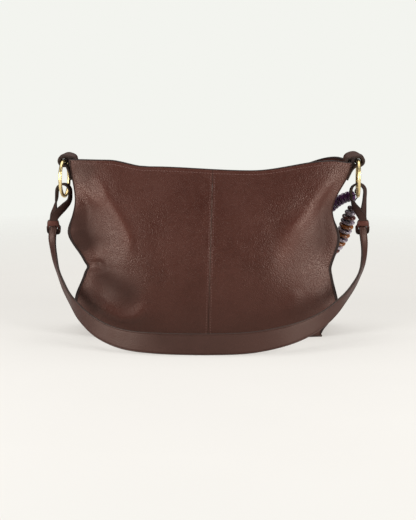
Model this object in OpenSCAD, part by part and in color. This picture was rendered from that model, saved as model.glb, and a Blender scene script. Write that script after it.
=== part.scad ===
// Slouchy leather hobo bag that stands on its base, with a shoulder strap looped through
// two brass rings and a bead charm hung from the right-hand ring.
// Origin: centre of the underside of the base. +X right, +Y to the far side, +Z up.

/* [Body] */
// Width of the base along X
base_w = 280; // [270:2:290]
// Depth of the base along Y, at its middle
base_d = 110; // [106:1:114]
// Height of the rim at its highest
rim_h = 217; // [212:1:222]
// How far the outside panels belly out in Y
belly = 14; // [10:1:16]
// Gap between the two rims at the middle of the mouth
mouth_gap = 40; // [38:1:46]
// Depth of each gusset where it meets the ring tab
corner_d = 18; // [18:1:20]
// Thickness of the outside leather
leather_t = 1.6; // [1.2:0.1:1.6]
// Depth of the leather facing inside the rim
facing_h = 38; // [34:1:42]

/* [Rings and tabs] */
// Inside diameter of each ring
ring_id = 40; // [38:0.5:41]
// Wire diameter of each ring
ring_wire = 4.4; // [4:0.1:4.6]
// Distance of the left ring from the bag's middle
ring_left_x = 182; // [182:0.5:184]
// Distance of the right ring from the bag's middle
ring_right_x = 191; // [190:0.5:193]
// Width of the leather tab that holds each ring
tab_w = 15; // [12:0.5:16]

/* [Strap] */
// Thickness of the strap leather
strap_t = 2.6; // [2:0.1:2.8]
// Width of the strap at its ends
strap_end_w = 10.5; // [9.5:0.5:10.5]
// Width of the slit tab at each end of the strap
slit_tab_w = 18; // [17:0.5:19]

/* [Inside pocket] */
// Length of the pocket zip
zip_len = 140; // [130:2:144]

/* [Charm] */
// Diameter of the charm's cord
cord_d = 1.6; // [1.2:0.1:1.8]
// Outside radius of the largest beads
bead_r = 9.4; // [8.5:0.1:9.5]
// Thickness of one bead
bead_t = 4.6; // [4:0.1:4.7]

/* [Hidden] */
round_fn = 64;

// Insets of each layer, measured inwards from the outside of the leather
facing_in = 2.8;
facing_out = 4.2;
lining_in = 4.4;
lining_out = 5.2;
pocket_in = 2.0;
pocket_out = 4.0;

// Levels of the layers in the base
base_t = 2;
flange = 1.5;
stiffener_t = 2;
layer_gap = 0.2;
lining_t = 0.8;
stiffener_z = base_t + layer_gap;
lining_base_z = stiffener_z + stiffener_t + layer_gap;
lining_h0 = 0.018;

// Depth law of the body
side_half = 48;
taper = (base_d - mouth_gap) / 2;
taper_power = 1.6;
side_power = 0.9;
crown_power = 4;
gusset_fold = 6;
gusset_belly = 3;
gusset_dip = 4;

// Half-width of the body against height, both as fractions: narrow, wide, pinched, wide
left_edge = [[0, 1], [0.19, 1.17], [0.385, 1.08], [0.59, 1.235], [0.765, 1.187], [1, 1.235]];
right_edge = [[0, 1], [0.16, 1.145], [0.375, 1.088], [0.56, 1.16], [0.72, 1.112], [1, 1.285]];
seam_lean = 6;

// Drop of the rim below its highest point, from the left corner to the right corner
front_rim = [[-1, 0], [-0.74, 0.5], [-0.46, 8.5], [0.28, 13.5], [0.86, 1.5], [1, 4]];
rear_rim = [[-1, 1], [-0.6, 5], [0, 18], [0.5, 15], [0.9, -2], [1, 1]];

// ---- shaping functions ----
function ease(k) = k * k * (3 - 2 * k);
function row_of(pts, t) = max([for (j = [0 : len(pts) - 2]) if (t >= pts[j][0]) j]);
function between(p, q, t) = p[1] + (q[1] - p[1]) * ease((t - p[0]) / (q[0] - p[0]));
function profile(pts, t) = let (i = row_of(pts, t)) between(pts[i], pts[i + 1], t);

function mid_x(h) = seam_lean * h;
function edge_x(side, h) =
    side * base_w / 2 * profile(side < 0 ? left_edge : right_edge, h);
function side_depth(h) = side_half - (side_half - corner_d / 2) * pow(h, side_power);
function mid_depth(h) = base_d / 2 + belly * sin(180 * h) - taper * pow(h, taper_power);
function rim_z(face, u) = rim_h - profile(face < 0 ? front_rim : rear_rim, u);

// A point of the front (face -1) or rear (face 1) panel, at fraction u across and h up
function panel_point(face, u, h, d) =
    let (side = u < 0 ? -1 : 1)
    let (edge = edge_x(side, h) - side * d)
    let (x = mid_x(h) + abs(u) * (edge - mid_x(h)))
    let (deep = side_depth(h) + (mid_depth(h) - side_depth(h)) * (1 - pow(abs(u), crown_power)))
    [x, face * (deep - d), base_t + h * (rim_z(face, u) - base_t)];

// A point of the left (side -1) or right (side 1) gusset, at fraction w front to rear.
// margin is how far short of the corner the sheet stops.
function gusset_bow(h) = h < 0.5 ? gusset_belly * sin(360 * h) : gusset_fold * sin(360 * h);
function gusset_rim(side, w) =
    (rim_z(-1, side) * (1 - w) + rim_z(1, side) * (1 + w)) / 2 - gusset_dip * (1 - w * w);
function gusset_point(side, w, h, d, margin) =
    [edge_x(side, h) - side * d + side * gusset_bow(h) * (1 - w * w),
     w * (side_depth(h) - d - margin),
     base_t + h * (gusset_rim(side, w) - base_t)];

// ---- solids made from grids of points ----
function grid_faces(m, n, start, flip) = [
    for (j = [0 : n - 1], i = [0 : m - 1], k = [0, 1])
        let (a = start + j * (m + 1) + i)
        let (b = a + 1)
        let (c = a + m + 2)
        let (d = a + m + 1)
        let (f = k == 0 ? [a, b, c] : [a, c, d])
        flip ? [f[2], f[1], f[0]] : f
];
function rim_faces(loop, shift, flip) = [
    for (i = [0 : len(loop) - 1], k = [0, 1])
        let (a = loop[i])
        let (b = loop[(i + 1) % len(loop)])
        let (f = k == 0 ? [a, b, b + shift] : [a, b + shift, a + shift])
        flip ? f : [f[2], f[1], f[0]]
];
function border(m, n) = concat(
    [for (i = [0 : m - 1]) i],
    [for (j = [0 : n - 1]) j * (m + 1) + m],
    [for (i = [m : -1 : 1]) n * (m + 1) + i],
    [for (j = [n : -1 : 1]) j * (m + 1)]
);
// A sheet with thickness: outer and inner are grids of (m + 1) by (n + 1) points
module sheet(outer, inner, m, n, flip = false) {
    shift = (m + 1) * (n + 1);
    polyhedron(
        points = concat(outer, inner),
        faces = concat(
            grid_faces(m, n, 0, flip),
            grid_faces(m, n, shift, !flip),
            rim_faces(border(m, n), shift, flip)
        )
    );
}

function span(a, b, i, n) = a + (b - a) * i / n;
function panel_grid(face, u0, u1, h0, h1, d, m, n) = [
    for (j = [0 : n], i = [0 : m])
        panel_point(face, span(u0, u1, i, m), span(h0, h1, j, n), d)
];
module panel_sheet(face, u0, u1, h0, h1, d0, d1, m, n) {
    sheet(panel_grid(face, u0, u1, h0, h1, d0, m, n),
        panel_grid(face, u0, u1, h0, h1, d1, m, n),
        m, n, face < 0);
}
function gusset_grid(side, h0, h1, d, margin, m, n) = [
    for (j = [0 : n], i = [0 : m])
        gusset_point(side, span(-1, 1, i, m), span(h0, h1, j, n), d, margin)
];
module gusset_sheet(side, h0, h1, d0, d1, m, n, margin = 0) {
    sheet(gusset_grid(side, h0, h1, d0, margin, m, n),
        gusset_grid(side, h0, h1, d1, margin, m, n),
        m, n, side > 0);
}
// Outline of the base, inset by d
outline_steps = 16;
function xy(p) = [p[0], p[1]];
function outline(d) = concat(
    [for (i = [0 : outline_steps]) xy(panel_point(-1, span(-1, 1, i, outline_steps), 0, d))],
    [for (i = [0 : outline_steps]) xy(panel_point(1, span(1, -1, i, outline_steps), 0, d))]
);

// ---- bands and tubes along a path ----
function unit(v) = v / norm(v);
function part3(v, k) = [v[k], v[k + 1], v[k + 2]];
function blend4(a, b, c, d, t) =
    (2 * b + (c - a) * t + (2 * a - 5 * b + 4 * c - d) * t * t
    + (3 * b - a - 3 * c + d) * t * t * t) / 2;
function smooth(p, n) = concat(
    [for (i = [0 : len(p) - 2], k = [0 : n - 1])
        blend4(p[max(i - 1, 0)], p[i], p[i + 1], p[min(i + 2, len(p) - 1)], k / n)],
    [p[len(p) - 1]]
);
function heading(p, i) =
    unit(part3(p[min(i + 1, len(p) - 1)], 0) - part3(p[max(i - 1, 0)], 0));
function square_to(v, t) = unit(v - (v * t) * t);
// Each row is x, y, z, the outward face direction (3) and the width
function band_ring(rows, i, thick) =
    let (t = heading(rows, i))
    let (n = square_to(part3(rows[i], 3), t))
    let (across = cross(n, t) * rows[i][6] / 2)
    let (out = n * thick / 2)
    let (c = part3(rows[i], 0))
    [c - across - out, c + across - out, c + across + out, c - across + out];
function tube_faces(m, n) = concat(
    [[for (j = [0 : m - 1]) j]],
    [for (i = [0 : n - 2], j = [0 : m - 1], k = [0, 1])
        let (a = i * m + j)
        let (b = i * m + (j + 1) % m)
        k == 0 ? [a, a + m, b + m] : [a, b + m, b]],
    [[for (j = [m - 1 : -1 : 0]) (n - 1) * m + j]]
);
module band(rows, thick) {
    rings = [for (i = [0 : len(rows) - 1]) band_ring(rows, i, thick)];
    polyhedron(points = [for (r = rings) each r], faces = tube_faces(4, len(rows)));
}

// ---- rings and tabs ----
ring_r = (ring_id + ring_wire) / 2;
ring_top = 215.2;
ring_mid = ring_top - ring_r;
ring_low = ring_top - 2 * ring_r;
left_yaw = -10;
right_yaw = -4;
roll_z = ring_top + 0.8;
roll_in = 5.2;
roll_out = 7.4;
tail_t = 2.2;
tail_clear = 0.5;
tail_drop = 24;

// ---- strap ----
// End of the strap, from its slit tab over the ring and back down through the slit.
// Offsets are measured outwards from the ring; knot is how far out the slit lies.
arch_r = 9;
arch_z = ring_low + 6;
slit_z = ring_low - 40;
tab_tilt = 33;
tab_len = 24;
tab_half = tab_len / 2;
tab_top_y = -tab_half * sin(tab_tilt);
tab_top_z = slit_z + tab_half * cos(tab_tilt);
function mix(a, b, k) = a + (b - a) * k;
function inner_row(knot, k, z, y, turn) =
    [mix(-arch_r, knot, k), y, z, -cos(turn), -sin(turn), 0, strap_end_w];
function outer_row(knot, k, z, turn, y) =
    [mix(arch_r, knot, k), y, z, cos(turn), -sin(turn), 0, strap_end_w];
function arch_row(a) =
    [-arch_r * cos(a), 0, arch_z + arch_r * sin(a), -cos(a), 0, sin(a), strap_end_w];
function end_rows(knot) = concat(
    [inner_row(knot, 1, tab_top_z - 1.7, tab_top_y + 0.9, 90),
     inner_row(knot, 0.9, tab_top_z + 4, tab_top_y + 0.8, 84),
     inner_row(knot, 0.66, tab_top_z + 10, tab_top_y + 2.4, 64),
     inner_row(knot, 0.34, tab_top_z + 17, tab_top_y + 4.6, 34),
     inner_row(knot, 0.06, tab_top_z + 25, 0, 8)],
    [for (a = [0 : 30 : 180]) arch_row(a)],
    [outer_row(knot, 0.2, arch_z - 10, 8, 0),
     outer_row(knot, 0.6, arch_z - 20, 34, 0.6),
     outer_row(knot, 0.9, arch_z - 30, 66, 0.8),
     outer_row(knot, 1, slit_z + 7, 90, 0.2),
     outer_row(knot, 1, slit_z, 90, 0)]
);
function placed(rows, ring_x, side) = [
    for (r = rows) [ring_x + side * r[0], r[1], r[2], side * r[3], r[4], r[5], r[6]]
];
function turned_back(rows) = [for (i = [len(rows) - 1 : -1 : 0]) rows[i]];
knot_left = 15;
knot_right = 6;
// Free run of the strap between its two slits: down, forward and along the floor
strap_run = [
    [-197, -2, 118, -0.3, -0.95, 0, 11],
    [-194, -12, 100, -0.7, -0.7, 0, 11.5],
    [-187, -30, 80, -0.93, -0.35, -0.15, 12.5],
    [-178, -50, 64, -0.93, -0.35, -0.15, 14],
    [-166, -72, 49, -0.85, -0.5, -0.1, 16],
    [-149, -97, 34, -0.62, -0.78, 0, 18.5],
    [-126, -121, 22, -0.42, -0.9, 0.05, 21.5],
    [-98, -138, 15, -0.25, -0.95, 0.1, 23.5],
    [-60, -150, 13, -0.12, -0.98, 0.12, 24.5],
    [0, -154, 12.5, 0, -0.98, 0.15, 25],
    [50, -151, 14, 0.12, -0.98, 0.12, 25],
    [90, -142, 20, 0.25, -0.95, 0.1, 23.5],
    [118, -127, 27, 0.4, -0.9, 0.05, 21.5],
    [140, -108, 36, 0.6, -0.8, 0, 18.5],
    [158, -86, 47, 0.8, -0.55, -0.1, 16],
    [173, -64, 59, 0.92, -0.38, -0.15, 14],
    [186, -43, 74, 0.95, -0.3, -0.15, 12.5],
    [194, -24, 91, 0.85, -0.5, 0, 11.5],
    [197, -8, 110, 0.5, -0.85, 0, 11]
];
strap_rows = concat(
    placed(end_rows(knot_left), -ring_left_x, -1),
    strap_run,
    placed(turned_back(end_rows(knot_right)), ring_right_x, 1)
);

// ---- snap and pocket places, on the sloping inside of the panels ----
function slope(h) =
    atan2(mid_depth(h - 0.08) - mid_depth(h + 0.08), 0.16 * (rim_z(1, 0) - base_t));
// Local frame on a panel's inside: x along the bag, y up the panel, z into the bag
module on_inside(face, h, d) {
    p = panel_point(face, 0, h, d);
    mirror([0, face < 0 ? 1 : 0, 0])
        translate([0, abs(p[1]), p[2]])
            rotate([90 + slope(h), 0, 0])
                children();
}

// ---- nodes: outside leather ----
leather = "#5a3430";
lining_colour = "#a88d72";
brass = "#c9ad6c";

module front_panel_left() {
    color(leather) panel_sheet(-1, -1, 0, 0, 1, 0, leather_t, 14, 18);
}
module front_panel_right() {
    color(leather) panel_sheet(-1, 0, 1, 0, 1, 0, leather_t, 14, 18);
}
module rear_panel_left() {
    color(leather) panel_sheet(1, -1, 0, 0, 1, 0, leather_t, 14, 18);
}
module rear_panel_right() {
    color(leather) panel_sheet(1, 0, 1, 0, 1, 0, leather_t, 14, 18);
}
module gusset_left() {
    color(leather) gusset_sheet(-1, 0, 1, 0, leather_t, 8, 18);
}
module gusset_right() {
    color(leather) gusset_sheet(1, 0, 1, 0, leather_t, 8, 18);
}
module base_panel() {
    color(leather) linear_extrude(base_t) polygon(outline(-flange));
}
module base_stiffener() {
    color("#8c7456")
        translate([0, 0, stiffener_z])
            linear_extrude(stiffener_t)
                polygon(outline(facing_in));
}
facing_h0 = 1 - facing_h / rim_h;
module facing_front() {
    color(leather) panel_sheet(-1, -1, 1, facing_h0, 1, facing_in, facing_out, 24, 4);
}
module facing_rear() {
    color(leather) panel_sheet(1, -1, 1, facing_h0, 1, facing_in, facing_out, 24, 4);
}

// ---- nodes: lining ----
lining_h1 = facing_h0 + 0.02;
gusset_lining_h1 = 0.92;
corner_margin = 1;
module lining_front() {
    color(lining_colour) panel_sheet(-1, -1, 1, lining_h0, lining_h1, lining_in, lining_out, 20, 12);
}
module lining_rear() {
    color(lining_colour) panel_sheet(1, -1, 1, lining_h0, lining_h1, lining_in, lining_out, 20, 12);
}
module lining_left() {
    color(lining_colour)
        gusset_sheet(-1, lining_h0, gusset_lining_h1, lining_in, lining_out, 6, 14, corner_margin);
}
module lining_right() {
    color(lining_colour)
        gusset_sheet(1, lining_h0, gusset_lining_h1, lining_in, lining_out, 6, 14, corner_margin);
}
module lining_base() {
    color(lining_colour)
        translate([0, 0, lining_base_z])
            linear_extrude(lining_t)
                polygon(outline(lining_in));
}

// ---- nodes: tabs and rings ----
// Side view of a tab: rolled round the ring's wire, with one tail down the outside of the
// gusset and a bridge over its top. gap is how far the gusset's face is from the wire.
tail_reach = 10;
module tab_profile(gap) {
    difference() {
        union() {
            circle(r = roll_out, $fn = round_fn);
            translate([gap - tail_t - tail_clear, -tail_drop])
                square([tail_t, tail_drop + (roll_in + roll_out) / 2]);
            translate([0, roll_in])
                square([gap + tail_reach, roll_out - roll_in]);
        }
        circle(r = roll_in, $fn = round_fn);
    }
}
// The narrower tail that is sewn inside the bag
module inner_tail(gap) {
    translate([gap + tail_reach - tail_t, roll_out - tail_drop])
        square([tail_t, tail_drop]);
}
module upright(width) {
    translate([0, width / 2, 0])
        rotate([90, 0, 0])
            linear_extrude(width)
                children();
}
module tab(side, ring_x) {
    gap = ring_x - abs(edge_x(side, 1));
    color(leather)
        translate([side * ring_x, 0, roll_z])
            mirror([side > 0 ? 1 : 0, 0, 0]) {
                upright(tab_w)
                    tab_profile(gap);
                upright(tab_w - 4)
                    inner_tail(gap);
            }
}
module tab_left() {
    tab(-1, ring_left_x);
}
module tab_right() {
    tab(1, ring_right_x);
}
module ring(x, yaw) {
    color(brass)
        translate([x, 0, ring_mid])
            rotate([0, 0, yaw])
                rotate([0, 90, 0])
                    rotate_extrude($fn = round_fn)
                        translate([ring_r, 0])
                            circle(d = ring_wire, $fn = round_fn / 2);
}
module ring_left() {
    ring(-ring_left_x, left_yaw);
}
module ring_right() {
    ring(ring_right_x, right_yaw);
}

// ---- node: strap ----
slit_w = strap_end_w + 2;
slit_len = 10;
module slit_tab(x) {
    translate([x, 0, slit_z])
        rotate([90 + tab_tilt, 0, 0])
            translate([0, 0, -strap_t / 2])
                linear_extrude(strap_t)
                    difference() {
                        union() {
                            translate([-slit_tab_w / 2, -tab_half + 4])
                                square([slit_tab_w, tab_len - 4]);
                            translate([0, -tab_half + slit_tab_w / 2])
                                circle(d = slit_tab_w, $fn = round_fn);
                        }
                        translate([-slit_w / 2, -slit_len / 2])
                            square([slit_w, slit_len]);
                    }
}
module strap() {
    color("#5c4642") {
        band(smooth(strap_rows, 3), strap_t);
        slit_tab(-ring_left_x - knot_left);
        slit_tab(ring_right_x + knot_right);
    }
}

// ---- nodes: magnetic snap ----
snap_h = 0.9;
snap_r = 9;
snap_t = 1.2;
stud_r = 4;
stud_h = 1.6;
socket_t = 2.8;
module snap_male() {
    color(brass) on_inside(-1, snap_h, facing_out + layer_gap) {
        cylinder(r = snap_r, h = snap_t, $fn = round_fn);
        translate([0, 0, snap_t])
            cylinder(r = stud_r, h = stud_h, $fn = round_fn);
    }
}
module snap_female() {
    color(brass) on_inside(1, snap_h, facing_out + layer_gap)
        difference() {
            cylinder(r = snap_r, h = socket_t, $fn = round_fn);
            translate([0, 0, snap_t])
                cylinder(r = stud_r + 0.3, h = socket_t, $fn = round_fn);
        }
}
washer_r = 6.5;
washer_t = 0.5;
washer_gap = 0.45;
module snap_washers() {
    color("silver")
        for (face = [-1, 1])
            on_inside(face, snap_h, facing_in - washer_gap)
                mirror([0, 0, 1])
                    difference() {
                        cylinder(r = washer_r, h = washer_t, $fn = round_fn);
                        translate([0, 0, -1])
                            cylinder(r = 3, h = washer_t + 2, $fn = round_fn);
                    }
}

// ---- nodes: zip pocket, on the rear lining ----
zip_h = 0.56;
plate_t = 1.0;
under_z = 0.9;
tape_z = under_z + plate_t + 0.3;
tape_t = 0.6;
tape_w = 7;
tape_gap = 1.8;
teeth_w = 1.8;
teeth_z = tape_z + tape_t;
teeth_t = 1.4;
over_z = teeth_z + teeth_t + 0.3;
slider_len = 9;
slider_w = 8;
post_w = 1.2;
frame_rim = 8;
frame_t = 1.2;
window_w = 11;
zip_half = zip_len / 2;
slider_x = -zip_half + slider_len / 2 + 3;
module on_zip() {
    on_inside(1, zip_h, lining_out) children();
}
module zip_frame() {
    color(leather) on_zip()
        translate([0, 0, teeth_z])
            linear_extrude(frame_t)
                difference() {
                    square([zip_len + 2 * frame_rim, window_w + 2 * frame_rim], center = true);
                    square([zip_len, window_w], center = true);
                }
}
module zip_tapes() {
    color("#3a2a26") on_zip()
        for (s = [-1, 1])
            translate([-zip_half - 5, s > 0 ? tape_gap / 2 : -tape_gap / 2 - tape_w, tape_z])
                cube([zip_len + 10, tape_w, tape_t]);
}
module zip_teeth() {
    tooth_pitch = 4;
    tooth_len = 2.6;
    color(brass) on_zip()
        for (s = [-1, 1], x = [-zip_half + 4 : tooth_pitch : zip_half - 6])
            translate([x, s > 0 ? tape_gap / 2 : -tape_gap / 2 - teeth_w, teeth_z])
                cube([tooth_len, teeth_w, teeth_t]);
}
module zip_stops() {
    color(brass) on_zip()
        for (x = [-zip_half + 0.8, zip_half - 2.4])
            translate([x, -3, teeth_z])
                cube([1.6, 6, teeth_t]);
}
module zip_slider() {
    color(brass) on_zip()
        translate([slider_x, 0, 0]) {
            translate([-slider_len / 2, -slider_w / 2, under_z])
                cube([slider_len, slider_w, plate_t]);
            translate([-slider_len / 2, -slider_w / 2, over_z])
                cube([slider_len, slider_w, plate_t]);
            translate([-1, -post_w / 2, under_z + plate_t / 2])
                cube([2, post_w, over_z - under_z]);
            for (x = [-2.5, 1.5])
                translate([x, -0.6, over_z + plate_t / 2])
                    cube([1, 1.2, 2.4]);
            translate([-2.5, -0.6, over_z + plate_t / 2 + 2])
                cube([5, 1.2, 1]);
        }
}
pull_z = over_z + plate_t + 0.35;
pull_len = 24;
pull_w = 7;
module zip_pull() {
    color(brass) on_zip()
        translate([slider_x + 0.9, 0, pull_z])
            linear_extrude(0.8)
                difference() {
                    union() {
                        translate([-1.7, -pull_w / 2])
                            square([pull_len, pull_w]);
                        translate([pull_len - 1.7, 0])
                            circle(d = pull_w, $fn = round_fn);
                    }
                    translate([-0.7, -1.6])
                        square([3.6, 3.2]);
                }
}
module zip_pocket_bag() {
    color(lining_colour) panel_sheet(1, -0.42, 0.42, 0.24, 0.6, pocket_in, pocket_out, 10, 8);
}

// ---- node: slip pocket, an open patch on the front lining ----
slip_u = 0.4;
slip_h0 = 0.22;
slip_h1 = 0.62;
slip_gape = 14;
function gape(i, j, m, n) = slip_gape * sin(180 * i / m) * pow(j / n, 0.7);
function slip_grid(d, m, n) = [
    for (j = [0 : n], i = [0 : m])
        panel_point(-1, span(-slip_u, slip_u, i, m), span(slip_h0, slip_h1, j, n), d + gape(i, j, m, n))
];
module slip_pocket() {
    color(lining_colour)
        sheet(slip_grid(lining_out + layer_gap, 16, 8), slip_grid(lining_out + layer_gap + lining_t, 16, 8),
            16, 8, true);
}

// ---- nodes: bead charm on the right-hand ring ----
charm_route = [
    [189, 14, 172], [186, 18, 170], [179, 24, 167.5], [172, 30, 164], [165.5, 35.5, 159],
    [159.5, 40.5, 152.5], [154, 45, 144], [149.5, 48, 134], [146, 50, 123], [144, 52, 112],
    [144.5, 53, 101], [148.5, 51, 93], [155, 47, 92], [161, 41.5, 97], [167, 36, 105],
    [172, 31, 114], [176, 27, 124], [179, 23, 135], [181.5, 20, 146], [184, 17.5, 156],
    [187.5, 15.5, 164], [192, 14, 170]
];
cord_path = smooth(charm_route, 3);
function run_to(p, i) = i == 0 ? 0 : run_to(p, i - 1) + norm(p[i] - p[i - 1]);
cord_runs = [for (i = [0 : len(cord_path) - 1]) run_to(cord_path, i)];
cord_len = cord_runs[len(cord_runs) - 1];
function leg_at(s) = max([for (i = [0 : len(cord_runs) - 2]) if (s >= cord_runs[i]) i]);
function point_at(s) =
    let (i = leg_at(s))
    mix(cord_path[i], cord_path[i + 1], (s - cord_runs[i]) / (cord_runs[i + 1] - cord_runs[i]));
cord_sides = 8;
function cord_ring(i) =
    let (t = heading(cord_path, i))
    let (a = square_to([0, 1, 0.2], t))
    let (b = cross(t, a))
    [for (k = [0 : cord_sides - 1])
        cord_path[i] + (a * cos(360 * k / cord_sides) + b * sin(360 * k / cord_sides)) * cord_d / 2];
module charm_cord() {
    color("#3b2b33")
        polyhedron(
            points = [for (i = [0 : len(cord_path) - 1]) each cord_ring(i)],
            faces = tube_faces(cord_sides, len(cord_path))
        );
}

bead_pitch = 6.1;
purple_pitch = 5.9;
bead_hole = 1.3;
bead_round = 1.4;
purple_r = 7;
first_bead = 19.5;
purple_first = 9;
purple_count = 7;
// Kinds of bead up the long side of the loop, counted from the ring:
// 0 dark, 1 mottled, 2 brown, 3 amber
bead_order = [0, 1, 2, 1, 3, 1, 3, 1, 3, 1, 2, 1];
function bead_size(i) = bead_r * min(1, 0.55 + 0.2 * i);
module bead(s, r) {
    p = point_at(s);
    t = unit(point_at(s + 1) - point_at(s - 1));
    translate(p)
        rotate([0, acos(t[2]), atan2(t[1], t[0])])
            rotate_extrude($fn = round_fn / 2)
                bead_outline(r);
}
module bead_outline(r) {
    translate([bead_hole, -bead_t / 2])
        square([r - bead_hole - bead_round, bead_t]);
    translate([r - bead_round - 0.2, -bead_t / 2 + bead_round])
        square([bead_round + 0.2, bead_t - 2 * bead_round]);
    for (s = [-1, 1])
        translate([r - bead_round, s * (bead_t / 2 - bead_round)])
            circle(r = bead_round, $fn = round_fn / 2);
}
module beads_of(kind) {
    for (i = [0 : len(bead_order) - 1])
        if (bead_order[i] == kind)
            bead(cord_len - first_bead - i * bead_pitch, bead_size(i));
}
module beads_dark() {
    color("#2b1c1c") beads_of(0);
}
module beads_mottled() {
    color("#b8a4ae") beads_of(1);
}
module beads_brown() {
    color("#5a2620") beads_of(2);
}
module beads_amber() {
    color("#9a5a28") beads_of(3);
}
module beads_purple() {
    color("#55305a")
        for (i = [0 : purple_count - 1])
            bead(purple_first + i * purple_pitch, purple_r);
}

front_panel_left();
front_panel_right();
rear_panel_left();
rear_panel_right();
gusset_left();
gusset_right();
base_panel();
base_stiffener();
facing_front();
facing_rear();
lining_front();
lining_rear();
lining_left();
lining_right();
lining_base();
tab_left();
tab_right();
ring_left();
ring_right();
strap();
snap_male();
snap_female();
snap_washers();
zip_frame();
zip_tapes();
zip_teeth();
zip_stops();
zip_slider();
zip_pull();
zip_pocket_bag();
slip_pocket();
charm_cord();
beads_dark();
beads_mottled();
beads_brown();
beads_amber();
beads_purple();
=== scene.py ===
"""Looks of a slouchy leather hobo bag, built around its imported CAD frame.

Lengths are in millimetres until a mesh or a curve is written, which is in metres.
The front, -Y, has the strap. Left is -X and right is +X.
A place on an outside panel is given by its face (-1 front, 1 rear), by u across
(-1 left seam, 0 centre seam, 1 right seam), by h (0 base, 1 rim) and by d, how far
inwards it lies from the outside of the leather.
"""
import math
from functools import partial

import bmesh
import bpy
import numpy as np
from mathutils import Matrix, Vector


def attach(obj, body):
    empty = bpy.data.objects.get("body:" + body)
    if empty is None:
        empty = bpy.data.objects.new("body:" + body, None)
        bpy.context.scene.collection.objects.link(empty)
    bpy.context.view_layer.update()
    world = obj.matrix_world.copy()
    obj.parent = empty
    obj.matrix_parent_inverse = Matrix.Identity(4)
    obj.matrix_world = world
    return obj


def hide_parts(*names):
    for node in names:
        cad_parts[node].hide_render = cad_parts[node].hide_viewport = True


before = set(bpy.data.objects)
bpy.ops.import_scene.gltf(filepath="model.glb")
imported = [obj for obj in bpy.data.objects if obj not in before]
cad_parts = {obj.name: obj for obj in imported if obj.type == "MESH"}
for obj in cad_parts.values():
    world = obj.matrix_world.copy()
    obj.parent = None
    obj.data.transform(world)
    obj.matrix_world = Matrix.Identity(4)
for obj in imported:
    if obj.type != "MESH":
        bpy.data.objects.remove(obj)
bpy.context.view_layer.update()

MM = 0.001
SEED = 7
chance = np.random.RandomState(SEED)

# ---------------------------------------------------------------- camera
CAMERA_PLACE = (0, -1.5349, 0.3049)
CAMERA_TILT = 82
SENSOR_W, LENS = 36, 105.6


def new_object(name, data):
    """An object with the given data, in the scene."""
    thing = bpy.data.objects.new(name, data)
    bpy.context.scene.collection.objects.link(thing)
    return thing


def add_camera():
    data = bpy.data.cameras.new("camera")
    data.sensor_fit = "HORIZONTAL"
    data.sensor_width = SENSOR_W
    data.lens = LENS
    camera = new_object("camera", data)
    camera.location = CAMERA_PLACE
    camera.rotation_euler = (math.radians(CAMERA_TILT), 0, 0)
    bpy.context.scene.camera = camera


add_camera()


# ---------------------------------------------------------------- materials
class Nodes:
    """The nodes of a tree. An input given as a socket is linked, and a value is set."""

    def __init__(self, tree):
        self.tree = tree

    def add(self, kind, inputs=None, **settings):
        node = self.tree.nodes.new(kind)
        for key, value in settings.items():
            setattr(node, key, value)
        self.feed(node, inputs or {})
        return node

    def feed(self, node, inputs):
        for key, value in inputs.items():
            if isinstance(value, bpy.types.NodeSocket):
                self.tree.links.new(value, node.inputs[key])
            else:
                node.inputs[key].default_value = value


class Graph(Nodes):
    """A material's nodes, which end in its shader."""

    def __init__(self, name):
        self.material = bpy.data.materials.new(name)
        self.material.use_nodes = True
        super().__init__(self.material.node_tree)
        self.shader = self.tree.nodes["Principled BSDF"]
        self.place = self.add("ShaderNodeTexCoord").outputs["Object"]

    def noise(self, scale, detail=3, place=None, rough=0.5):
        inputs = {"Vector": place or self.place, "Scale": scale, "Detail": detail,
                  "Roughness": rough}
        return self.add("ShaderNodeTexNoise", inputs).outputs["Fac"]

    def cells(self, scale, feature="F1"):
        inputs = {"Vector": self.place, "Scale": scale}
        return self.add("ShaderNodeTexVoronoi", inputs, feature=feature).outputs["Distance"]

    def waves(self, scale, place, distortion=0.0):
        inputs = {"Vector": place, "Scale": scale, "Distortion": distortion}
        return self.add("ShaderNodeTexWave", inputs).outputs["Fac"]

    def turned(self, angles, scale=(1, 1, 1)):
        """The place, turned by angles in degrees and scaled."""
        rotation = tuple(math.radians(a) for a in angles)
        inputs = {"Vector": self.place, "Rotation": rotation, "Scale": scale}
        return self.add("ShaderNodeMapping", inputs).outputs["Vector"]

    def attribute(self, name):
        return self.add("ShaderNodeAttribute", attribute_name=name).outputs["Fac"]

    def sum(self, a, b):
        return self.add("ShaderNodeMath", {0: a, 1: b}, operation="ADD").outputs[0]

    def product(self, a, b):
        return self.add("ShaderNodeMath", {0: a, 1: b}, operation="MULTIPLY").outputs[0]

    def ranged(self, value, low, high, from_low=0.0, from_high=1.0):
        """The value mapped to low at from_low and to high at from_high."""
        inputs = {"Value": value, "From Min": from_low, "From Max": from_high,
                  "To Min": low, "To Max": high}
        return self.add("ShaderNodeMapRange", inputs).outputs["Result"]

    def mix(self, factor, a, b):
        node = self.add("ShaderNodeMix", data_type="RGBA")
        self.feed(node, {0: factor, 6: a, 7: b})
        return node.outputs[2]

    def bump(self, height, distance, strength=1.0, normal=None):
        inputs = {"Height": height, "Distance": distance, "Strength": strength}
        if normal is not None:
            inputs["Normal"] = normal
        return self.add("ShaderNodeBump", inputs).outputs["Normal"]

    def finish(self, colour, rough, normal, others=None):
        self.feed(self.shader, {"Base Color": colour, "Roughness": rough, "Normal": normal})
        self.feed(self.shader, others or {})
        return self.material


def tone(colour, factor):
    """A colour made darker or lighter, as a shader colour."""
    return tuple(min(c * factor, 1) for c in colour) + (1,)


EDGE_BLACK = (0.012, 0.007, 0.006, 1)
# How much redder the leather is painted where a painted highlight is marked.
PAINTED_HIGHLIGHT_TINT = (1.7, 1.25, 1.2)


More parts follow.
